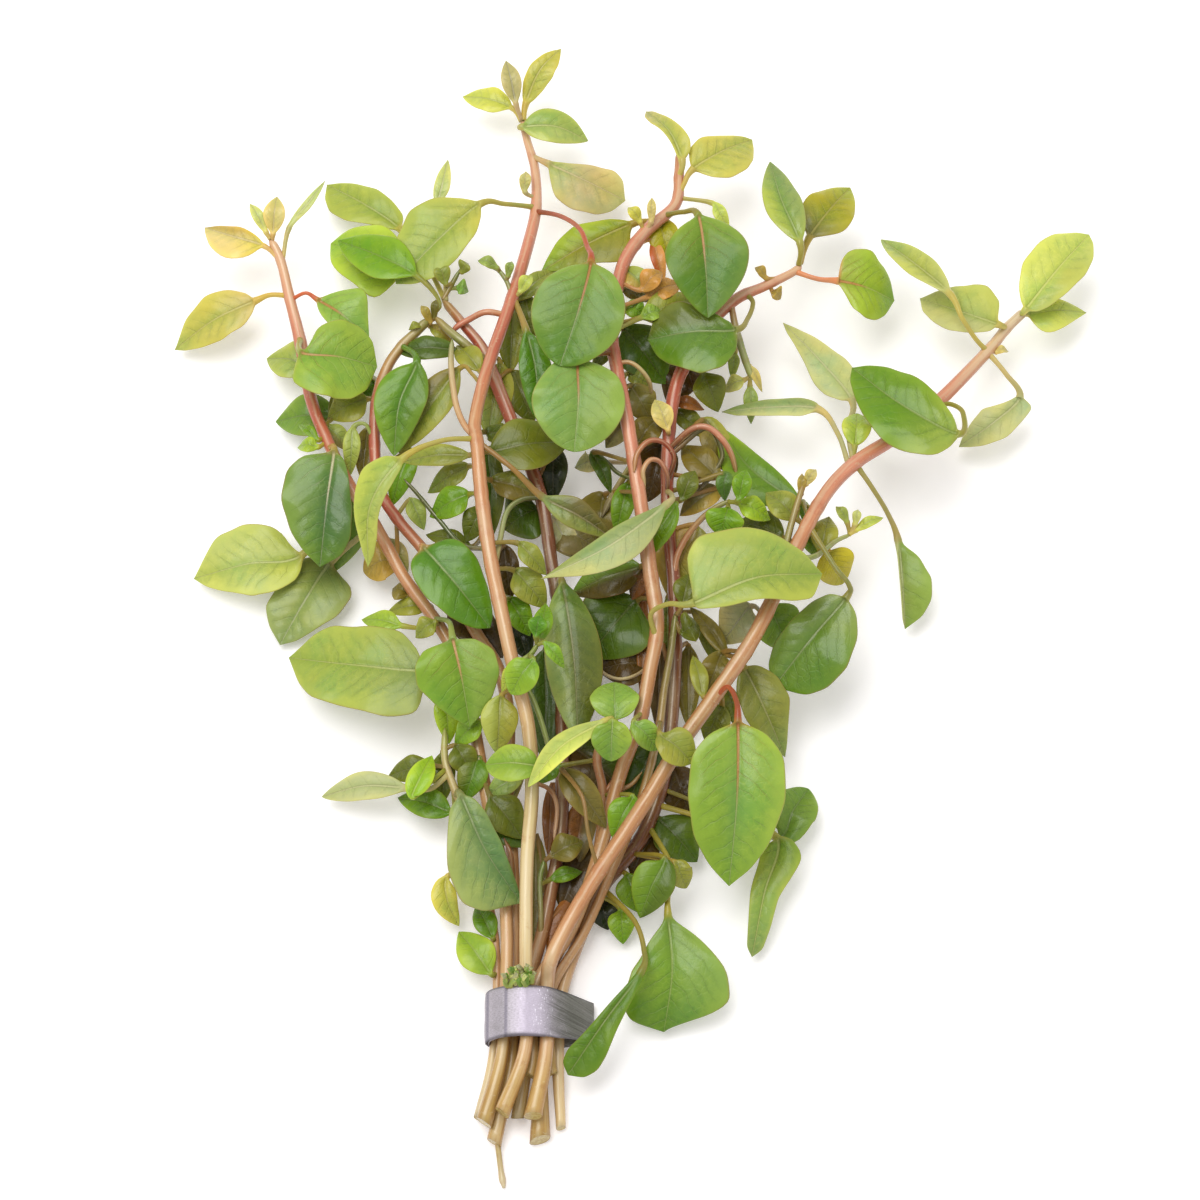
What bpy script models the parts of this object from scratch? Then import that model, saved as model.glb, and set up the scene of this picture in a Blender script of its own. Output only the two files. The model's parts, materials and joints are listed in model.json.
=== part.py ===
"""A bunch of cut ludwigia stems, held by a strip of lead and lying on a table.

X runs across the bunch, +Y from the cut ends to the growing tips, +Z up from the table.
Sizes are in millimetres in the tables and metres in the finished solids.
Where a stem or a leaf lies is given by the pixel it covers in the picture, 1200 pixels square,
and by its height over the table in millimetres.
"""

import math
from collections import namedtuple

import bmesh
import bpy
import numpy as np
from mathutils.bvhtree import BVHTree

METRES_PER_MM = 0.001

# The view that the pixel positions belong to
MM_PER_PIXEL = 0.2
MIDDLE_PIXEL = 600.0
VIEW_ELEVATION = math.radians(68.0)
VIEW_DISTANCE = 700.0
SIGHT = np.array([0.0, math.cos(VIEW_ELEVATION), -math.sin(VIEW_ELEVATION)])
UPWARD = np.array([0.0, math.sin(VIEW_ELEVATION), math.cos(VIEW_ELEVATION)])
EYE = -VIEW_DISTANCE * SIGHT
UP = np.array([0.0, 0.0, 1.0])

# Gaps and thicknesses, in mm
GAP = 0.3
PETIOLE_RADIUS = 0.5
LEAF_THICKNESS = 0.8
SMALL_PETIOLE_RADIUS = 0.4
TABLE_CLEARANCE = 0.03
# A midrib runs no lower than this
LOWEST_MIDRIB = 0.33
# A stalk starts this much more than the gap from its stem, whose flat sides cut inside its radius
STALK_MARGIN = 0.1
# Clear space that a leaf has to have from the stem it grows from
OWN_STEM_CLEARANCE = 0.05
# Thickness of the midrib in a blade, as a share of the stalk's
MIDRIB_SHARE = 0.8
# A line that runs flat by less than this takes its sides from the direction of the whole blade
LEAST_FLAT = 0.25
# Steps of a leaf's line between two of its points
LINE_STEPS = 10

# How much farther apart than the gap stems are set, since their flat sides cut across their curves
STEM_MARGIN = 0.15
# Of the distance that two stems are too near, the share that each is moved in one round
PUSH_SHARE = 0.6
NEAR_ENOUGH = 0.02

# Strip of lead: width along the bunch and thickness in mm, and the pixels of its ends and middle
STRIP_WIDTH = 9.6
STRIP_THICKNESS = 1.0
STRIP_LEFT_U = 484.0
STRIP_RIGHT_U = 596.0
STRIP_MIDDLE_V = 1033.0
# The corners of its outline seen from its end, in mm from the left and from the right end, and up
STRIP_LOW_RIGHT = ((-2.6, 0.0), (-0.7, 0.6), (0.0, 1.6), (-0.9, 3.1), (-4.6, 6.9), (-8.6, 10.3), (-12.4, 11.3))
STRIP_HIGH_LEFT = ((6.2, 11.4), (3.0, 10.0), (0.8, 7.4), (0.0, 4.6), (0.6, 2.0), (2.6, 0.0))
# The heights at which its ends are seen, in mm
STRIP_LEFT_HEIGHT = 5.0
STRIP_RIGHT_HEIGHT = 2.0
# At a sharp corner the inner outline is set in by no more than the thickness over this
SHARPEST_LEAN = 0.6
# Nearer the cut ends than this, the strip holds the stems in their places
STRIP_START_Y = -81.5

# Shares of a stem's length: where it has its thickness below the tip, and where a shoot
# that never reaches the strip has its last two thicknesses
BELOW_TIP = 0.12
SHOOT_ENDS = (0.86, 0.9)

# How far a leaf may be lifted or slid along its stem to lie clear of the rest, in mm
LIFTS = (0, 1, -1, 2, -2, 3, -3, 4, -4, 5, -5, 6, -6, 7, -7, 8, -8, 10, 12, 14, 16)
SLIDES = (0.0, 1.5, -1.5, 3.0, -3.0)
SLIDE_COST = 1.5

# Blade outlines: where it is widest, how full it is toward the stalk and toward the tip
OVATE = (0.42, 0.80, 1.00)
ELLIPTIC = (0.48, 0.75, 0.85)
ROUND = (0.50, 0.55, 0.55)
LANCE = (0.40, 1.00, 1.25)
BLUNT = (0.68, 0.95, 0.42)
PADDLE = (0.78, 1.30, 0.60)
DROOPING = (0.26, 0.70, 0.60)

# Leaf and stem colours, linear red, green and blue
LIME = (0.36, 0.50, 0.09)
BRIGHT = (0.15, 0.38, 0.035)
GREEN = (0.13, 0.34, 0.07)
DEEP = (0.045, 0.19, 0.045)
BLUISH = (0.06, 0.21, 0.10)
PALE = (0.42, 0.52, 0.22)
GREY = (0.26, 0.36, 0.15)
OLIVE = (0.24, 0.28, 0.07)
BRONZE = (0.26, 0.20, 0.07)
PINKISH = (0.48, 0.38, 0.20)
YELLOW = (0.42, 0.44, 0.11)
SALMON = (0.70, 0.28, 0.15)
TAN = (0.55, 0.32, 0.14)
LEAD = (0.40, 0.39, 0.44)
LEAF_ROUGHNESS = 0.40
STEM_ROUGHNESS = 0.45
LEAD_ROUGHNESS = 0.45

Stem = namedtuple("Stem", "path thick parent")


def stem(path, thick, parent=None):
    """A stem from its growing tip to its cut end, or a shoot that grows from a parent stem."""
    return Stem(path, thick, parent)


# Stems: the pixel and the height of each bend, and the thickness at five places from tip to cut end
STEMS = {
    "left_outer": stem(
        [
            (270, 238, 13), (281, 262, 12), (290, 300, 11), (300, 340, 10.5), (311, 399, 10.5),
            (328, 442, 11), (352, 490, 12), (378, 530, 12), (405, 579, 11.5), (435, 620, 11),
            (456, 657, 10), (470, 705, 9), (481, 765, 8), (491, 820, 7), (502, 868, 6.5),
            (507, 930, 6), (506, 990, 5.7), (504, 1055, 5.7), (487, 1124, 4.7),
        ],
        (1.2, 1.9, 2.3, 2.4, 3.1),
    ),
    "left_inner": stem(
        [
            (430, 318, 15), (415, 333, 15), (400, 348, 14.5), (386, 370, 14), (376, 405, 14),
            (375, 456, 13), (381, 492, 12), (398, 520, 11), (425, 552, 9.5), (452, 592, 8.5),
            (477, 634, 8), (498, 668, 7.5), (508, 710, 7), (509, 760, 6), (511, 830, 5),
            (514, 905, 4), (513, 996, 2.7), (512, 1061, 2.7), (496, 1143, 2.2),
        ],
        (1.1, 2.0, 2.4, 2.3, 2.9),
    ),
    "centre_left": stem(
        [
            (522, 120, 9), (527, 140, 9.5), (535, 170, 10), (536, 208, 11), (528, 245, 13),
            (512, 298, 16), (487, 370, 21), (475, 420, 24), (477, 443, 25), (482, 500, 25),
            (490, 556, 24.5), (500, 605, 23), (513, 665, 21), (528, 725, 19), (532, 790, 16),
            (527, 860, 13.5), (526, 930, 11), (526, 985, 8.4), (525, 1050, 8.4), (502, 1113, 7.2),
        ],
        (1.1, 2.2, 2.6, 2.5, 3.1),
    ),
    "hidden": stem(
        [
            (443, 300, 13), (461, 325, 13.5), (479, 349, 13), (494, 380, 12), (515, 430, 11),
            (541, 497, 10), (552, 567, 9), (560, 620, 8), (562, 700, 7), (562, 780, 6),
            (561, 833, 5.5), (553, 880, 5), (543, 930, 4.2), (527, 996, 2.7), (526, 1061, 2.7),
            (518, 1113, 2.3),
        ],
        (1.4, 2.3, 2.5, 2.3, 2.7),
    ),
    "centre": stem(
        [
            (680, 150, 17), (679, 175, 17), (675, 205, 17.5), (645, 232, 18.5), (622, 268, 20),
            (612, 330, 22), (618, 375, 23), (628, 425, 23), (640, 500, 22), (650, 570, 20.5),
            (657, 625, 19), (650, 670, 17.5), (640, 720, 16), (620, 775, 13.5), (603, 840, 11),
            (587, 890, 9.8), (567, 935, 8), (534, 990, 5.5), (533, 1055, 5.4), (530, 1076, 5.3),
        ],
        (1.2, 2.4, 2.7, 2.3, 2.4),
    ),
    "right_inner": stem(
        [
            (800, 262, 17), (795, 271, 17), (765, 286, 18), (735, 300, 18), (703, 331, 17),
            (682, 370, 16), (673, 400, 15.5), (668, 450, 14.5), (668, 520, 13), (675, 600, 11),
            (673, 700, 9), (663, 780, 7.5), (640, 840, 6.5), (606, 888, 5.5), (587, 935, 4),
            (564, 996, 2.8), (561, 1061, 2.8), (562, 1130, 1.8),
        ],
        (1.3, 2.3, 2.5, 2.5, 1.9),
    ),
    "right_outer": stem(
        [
            (1025, 308, 12), (1003, 328, 12), (985, 350, 12.5), (935, 402, 15), (895, 437, 17),
            (855, 463, 19), (825, 495, 20.5), (795, 550, 22), (755, 635, 22), (715, 695, 21),
            (680, 745, 19.5), (640, 810, 17.5), (600, 870, 15), (570, 920, 12), (552, 960, 9.6),
            (547, 986, 7.4), (546, 1051, 7.4), (533, 1116, 6.6),
        ],
        (1.3, 2.4, 2.8, 2.7, 3.5),
    ),
    "short_right": stem(
        [
            (676, 612, 15), (671, 650, 14), (664, 690, 13), (659, 728, 12.5), (648, 775, 11.5),
            (632, 825, 10), (610, 875, 8.5), (585, 930, 6.8), (551, 992, 4.6),
            (551, 1057, 4.6), (553, 1074, 4.5),
        ],
        (1.2, 1.5, 1.7, 1.9, 2.0),
    ),
    "short_middle": stem(
        [
            (613, 716, 19), (603, 738, 17), (597, 760, 14), (603, 795, 10.5), (598, 850, 8),
            (584, 895, 6), (562, 945, 4), (541, 996, 2.6), (541, 1061, 2.6), (541, 1142, 1.9),
        ],
        (1.3, 1.7, 2.0, 2.2, 3.3),
    ),
    "short_left": stem(
        [
            (445, 728, 10), (445, 760, 9.5), (453, 785, 9), (470, 830, 7), (486, 890, 5),
            (495, 940, 3.8), (499, 996, 2.9), (498, 1061, 2.9), (480, 1120, 2.2),
        ],
        (1.2, 1.5, 1.6, 1.7, 1.9),
    ),
    # A root on a cut end, and thin side shoots
    "root": stem([(503, 1188, 0.8), (500, 1170, 0.8), (497, 1138, 2.1)], (1.3, 1.1, 1, 1, 1), "left_inner"),
    "tip_shoot_left": stem([(461, 268, 15), (452, 284, 14), (444, 299, 13)], (0.8, 0.9, 1, 1, 1), "hidden"),
    "bud_shoot_centre": stem(
        [(486, 266, 16), (498, 270, 16), (507, 282, 16), (512, 297, 16)], (0.7, 0.8, 0.9, 1, 1), "centre_left"
    ),
    "bent_shoot_right": stem(
        [(852, 534, 15), (836, 541, 17), (815, 556, 20), (795, 560, 21.5)], (0.8, 0.9, 1, 1.1, 1.2), "right_outer"
    ),
    "twig_right": stem(
        [(806, 480, 22), (797, 510, 22), (788, 540, 21), (775, 592, 22)], (0.8, 0.9, 1.1, 1.3, 1.3), "right_outer"
    ),
    "low_shoot": stem(
        [(545, 858, 8), (540, 880, 7.5), (541, 915, 6.5), (545, 935, 4.5)], (0.8, 0.9, 1, 1.1, 1.2), "hidden"
    ),
    "hanging_shoot": stem(
        [(752, 380, 12), (742, 350, 15), (735, 325, 17), (730, 303, 18)], (1.3, 1.5, 1.5, 1.4, 1.2), "right_inner"
    ),
    "tuft_shoot": stem(
        [(540, 640, 26), (530, 655, 24), (516, 668, 21)], (0.8, 1, 1, 1.1, 1.2), "centre_left"
    ),
    "curved_shoot": stem(
        [(730, 500, 21), (708, 513, 18), (688, 535, 15), (676, 560, 13), (673, 585, 11.5)],
        (1.0, 1.1, 1.2, 1.3, 1.3), "right_inner",
    ),
}
SHOOTS = [name for name in STEMS if STEMS[name].parent]
MAIN_STEMS = [name for name in STEMS if not STEMS[name].parent]

Leaf = namedtuple("Leaf", "name stem at base tip wide shape tint via bow share fold roll arch small")


def leaf(name, on, at, base, tip, wide, shape=OVATE, tint=GREEN, via=(), bow=0.0, share=0.5,
         fold=0.12, roll=0.0, arch=1.5, small=False):
    """A leaf by the pixels of its stalk's root, of the foot of its blade and of its tip.

    bow moves the middle of the midrib to the left, in pixels, as seen from foot to tip.
    share is the part of the width to the left of the midrib.
    fold and roll are slopes across the blade, arch raises its middle in mm.
    """
    return Leaf(name, on, at, base, tip, wide, shape, tint, via, bow, share, fold, roll, arch, small)


# Leaves with a solid of their own, the highest and plainest to see first
LEAVES = [
    leaf("leaf_left_folded", "centre_left", (475, 441), (402, 459, 28), (368, 567, 18), 38, ELLIPTIC, LIME,
         via=((440, 441),), bow=-15, share=0.35, fold=-0.2),
    leaf("leaf_centre_high", "centre_left", (537, 212), (591, 262, 32), (560, 366, 28), 94, ROUND, GREEN,
         via=((568, 212, 18), (585, 238, 26)), bow=3, share=0.5),
    leaf("leaf_centre_kidney", "centre", (612, 352), (579, 357, 29), (574, 452, 26), 94, ROUND, GREEN,
         via=((598, 354),), bow=2, share=0.5),
    leaf("leaf_top_big", "centre", (666, 212), (698, 215, 27), (708, 318, 24), 78, OVATE, GREEN,
         via=((683, 212),), bow=2),
    leaf("leaf_centre_lance", "right_inner", (668, 493), (666, 505, 26), (541, 579, 25), 36, LANCE, PALE,
         via=((672, 496),), bow=9, share=0.6, fold=-0.15),
    leaf("leaf_right_lime", "centre", (654, 636), (694, 603, 28), (822, 574, 26), 72, ELLIPTIC, LIME,
         via=((651, 614), (668, 604)), bow=6, share=0.76, arch=2.5),
    leaf("leaf_right_front", "right_outer", (715, 695), (738, 722, 25), (729, 884, 13), 98, OVATE, BRIGHT,
         via=((728, 687), (736, 700)), bow=5, share=0.5, arch=2.5),
    leaf("leaf_right_two_tone", "right_outer", (806, 528), (847, 603, 19), (774, 687, 12), 76, OVATE, DEEP,
         via=((835, 567, 22), (849, 585, 21)), bow=6, share=0.5),
    leaf("leaf_left_light", "left_outer", (434, 618), (453, 640, 21), (478, 727, 15), 84, OVATE, GREEN,
         via=((449, 622),), bow=-6, share=0.5),
    leaf("leaf_left_inner_dark", "left_inner", (424, 551), (424, 548, 19), (490, 628, 16), 60, OVATE, DEEP,
         bow=0, share=0.5),
    leaf("leaf_left_big_dark", "left_outer", (331, 446), (334, 452, 16), (314, 563, 11), 70, OVATE, BLUISH,
         bow=-5),
    leaf("leaf_left_round", "left_outer", (300, 342), (302, 353, 18), (377, 366, 14), 74, ROUND, GREEN),
    leaf("leaf_centre_grey", "hidden", (556, 590), (563, 592, 18), (578, 740, 14), 52, ELLIPTIC, GREY,
         bow=4, fold=-0.15),
    leaf("leaf_left_lime_wide", "left_outer", (452, 650), (425, 670, 13), (289, 658, 6), 88, ELLIPTIC, LIME,
         bow=-8, share=0.52, fold=0.1),
    leaf("leaf_upper_pale_big", "centre_left", (536, 208), (480, 204, 18), (396, 284, 14), 66, OVATE, YELLOW,
         via=((505, 200),), bow=-4),
    leaf("leaf_middle_slim", "centre_left", (478, 445), (541, 496, 22), (616, 541, 18), 27, LANCE, GREY,
         via=((512, 468),), bow=0, roll=0.3),
    leaf("leaf_left_bright", "left_inner", (402, 347), (417, 361, 20), (394, 456, 15), 52, OVATE, BRIGHT,
         bow=-6, share=0.5),
    leaf("leaf_upper_slim_green", "centre_left", (512, 300), (523, 332, 18), (536, 420, 14), 34, ELLIPTIC, BRIGHT,
         bow=0),
    leaf("leaf_top_dark_big", "right_inner", (748, 293), (729, 326, 22), (652, 369, 19), 60, OVATE, DEEP,
         via=((758, 304, 19), (750, 320, 20)), bow=-2),
    leaf("leaf_right_big", "right_outer", (930, 405), (958, 434, 23), (852, 368, 21), 68, OVATE, BRIGHT,
         via=((953, 403, 17), (966, 418, 20)), bow=8, share=0.5),
    leaf("leaf_twisted_light", "short_middle", (610, 718), (604, 722, 24), (528, 787, 22), 22, ELLIPTIC, PALE,
         bow=-7, roll=0.4),
    leaf("leaf_middle_round_low", "short_middle", (608, 727), (612, 722, 23), (611, 761, 20), 41, ROUND, GREEN),
    leaf("leaf_middle_lime", "centre_left", (531, 765), (539, 766, 21), (486, 765, 19), 38, ROUND, LIME),
    leaf("leaf_low_left_big", "short_left", (458, 797), (461, 796, 15), (521, 903, 9), 62, ELLIPTIC, GREY,
         bow=-6, share=0.42),
    leaf("leaf_low_diamond", "right_inner", (648, 828), (668, 915, 9), (685, 1030, 3), 97, BLUNT, BRIGHT,
         via=((672, 868, 9), (668, 897, 9)), bow=0, share=0.5),
    leaf("leaf_low_paddle", "right_inner", (606, 888), (637, 972, 8), (570, 1072, 3), 38, PADDLE, GREEN,
         via=((630, 920, 8), (640, 950, 8)), bow=-3),
    leaf("leaf_right_hanging", "right_outer", (857, 462), (899, 538, 9), (905, 629, 4), 34, OVATE, GREEN,
         via=((876, 486), (893, 512, 12)), bow=0, share=0.86, fold=0.3),
    leaf("leaf_right_lance", "right_outer", (856, 463), (850, 390, 13), (781, 326, 8), 40, LANCE, PALE,
         via=((848, 428, 16),), bow=6, fold=-0.15),
    leaf("leaf_right_twisted", "right_outer", (852, 464), (806, 408, 14), (722, 417, 9), 20, LANCE, PALE,
         via=((835, 438), (822, 421, 15)), bow=3, roll=0.4),
    leaf("leaf_tip_lime", "right_outer", (1020, 312), (1030, 303, 14), (1088, 234, 12), 58, OVATE, LIME, bow=5),
    leaf("leaf_tip_pale_up", "right_outer", (1004, 327), (998, 326, 15), (918, 298, 11), 50, OVATE, PALE, bow=3),
    leaf("leaf_tip_folded", "right_outer", (985, 350), (952, 291, 12), (882, 237, 9), 24, ELLIPTIC, GREEN,
         via=((964, 308, 13),), bow=4, fold=0.4),
    leaf("leaf_tip_pale_low", "right_outer", (987, 350), (1020, 397, 9), (957, 448, 4), 44, OVATE, PALE,
         via=((1009, 371, 12),), bow=5, share=0.5),
    leaf("leaf_top_right_green", "right_inner", (797, 266), (798, 243, 19), (768, 163, 15), 37, OVATE, DEEP,
         bow=4),
    leaf("leaf_top_right_bronze", "right_inner", (800, 264), (807, 238, 18), (846, 190, 14), 42, OVATE, BRONZE),
    leaf("leaf_top_right_round", "right_inner", (795, 271), (838, 276, 16), (893, 297, 11), 62, ROUND, BRIGHT,
         via=((818, 276, 17),)),
    leaf("leaf_top_lime", "centre", (679, 176), (702, 160, 18), (754, 141, 14), 40, OVATE, LIME),
    leaf("leaf_top_curled", "centre", (679, 178), (682, 160, 19), (646, 112, 15), 34, OVATE, YELLOW, bow=-6,
         fold=0.35),
    leaf("leaf_behind_yellow", "centre", (655, 223), (632, 224, 16), (541, 272, 12), 48, OVATE, OLIVE, bow=-3),
    leaf("leaf_crown_pink", "centre_left", (536, 155), (549, 164, 12), (625, 201, 8), 42, OVATE, PINKISH,
         bow=-2, share=0.55, fold=-0.15),
    leaf("leaf_crown_low", "centre_left", (525, 130), (522, 127, 12), (588, 141, 9), 34, OVATE, BRIGHT, bow=4),
    leaf("leaf_crown_right", "centre_left", (523, 122), (526, 103, 10), (561, 49, 14), 30, OVATE, YELLOW, bow=4),
    leaf("leaf_far_left", "left_outer", (285, 297), (255, 299, 10), (176, 348, 3), 44, OVATE, YELLOW,
         via=((270, 295, 11),), bow=-2),
    leaf("leaf_left_lime", "left_outer", (350, 488), (302, 552, 7), (195, 577, 3), 74, OVATE, LIME, bow=-6),
    leaf("leaf_upper_lime", "hidden", (444, 302), (400, 229, 12), (327, 185, 8), 52, OVATE, LIME,
         via=((425, 262, 12),), bow=-4),
    leaf("leaf_left_grey_olive", "left_outer", (376, 527), (338, 567, 4), (280, 645, 2), 76, OVATE, GREY,
         bow=-6),
    leaf("leaf_right_olive", "right_outer", (737, 664), (744, 668, 13), (785, 757, 7), 60, ELLIPTIC, OLIVE),
    leaf("leaf_low_drooping", "right_inner", (655, 800), (777, 838, 8), (755, 957, 3), 46, DROOPING, LIME,
         via=((720, 822, 8),), bow=-6, share=0.5),
    leaf("leaf_low_pale_lance", "short_left", (449, 776), (407, 788, 8), (322, 797, 3), 29, ELLIPTIC, PALE,
         bow=-4, via=((430, 789, 9),)),
]

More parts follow.
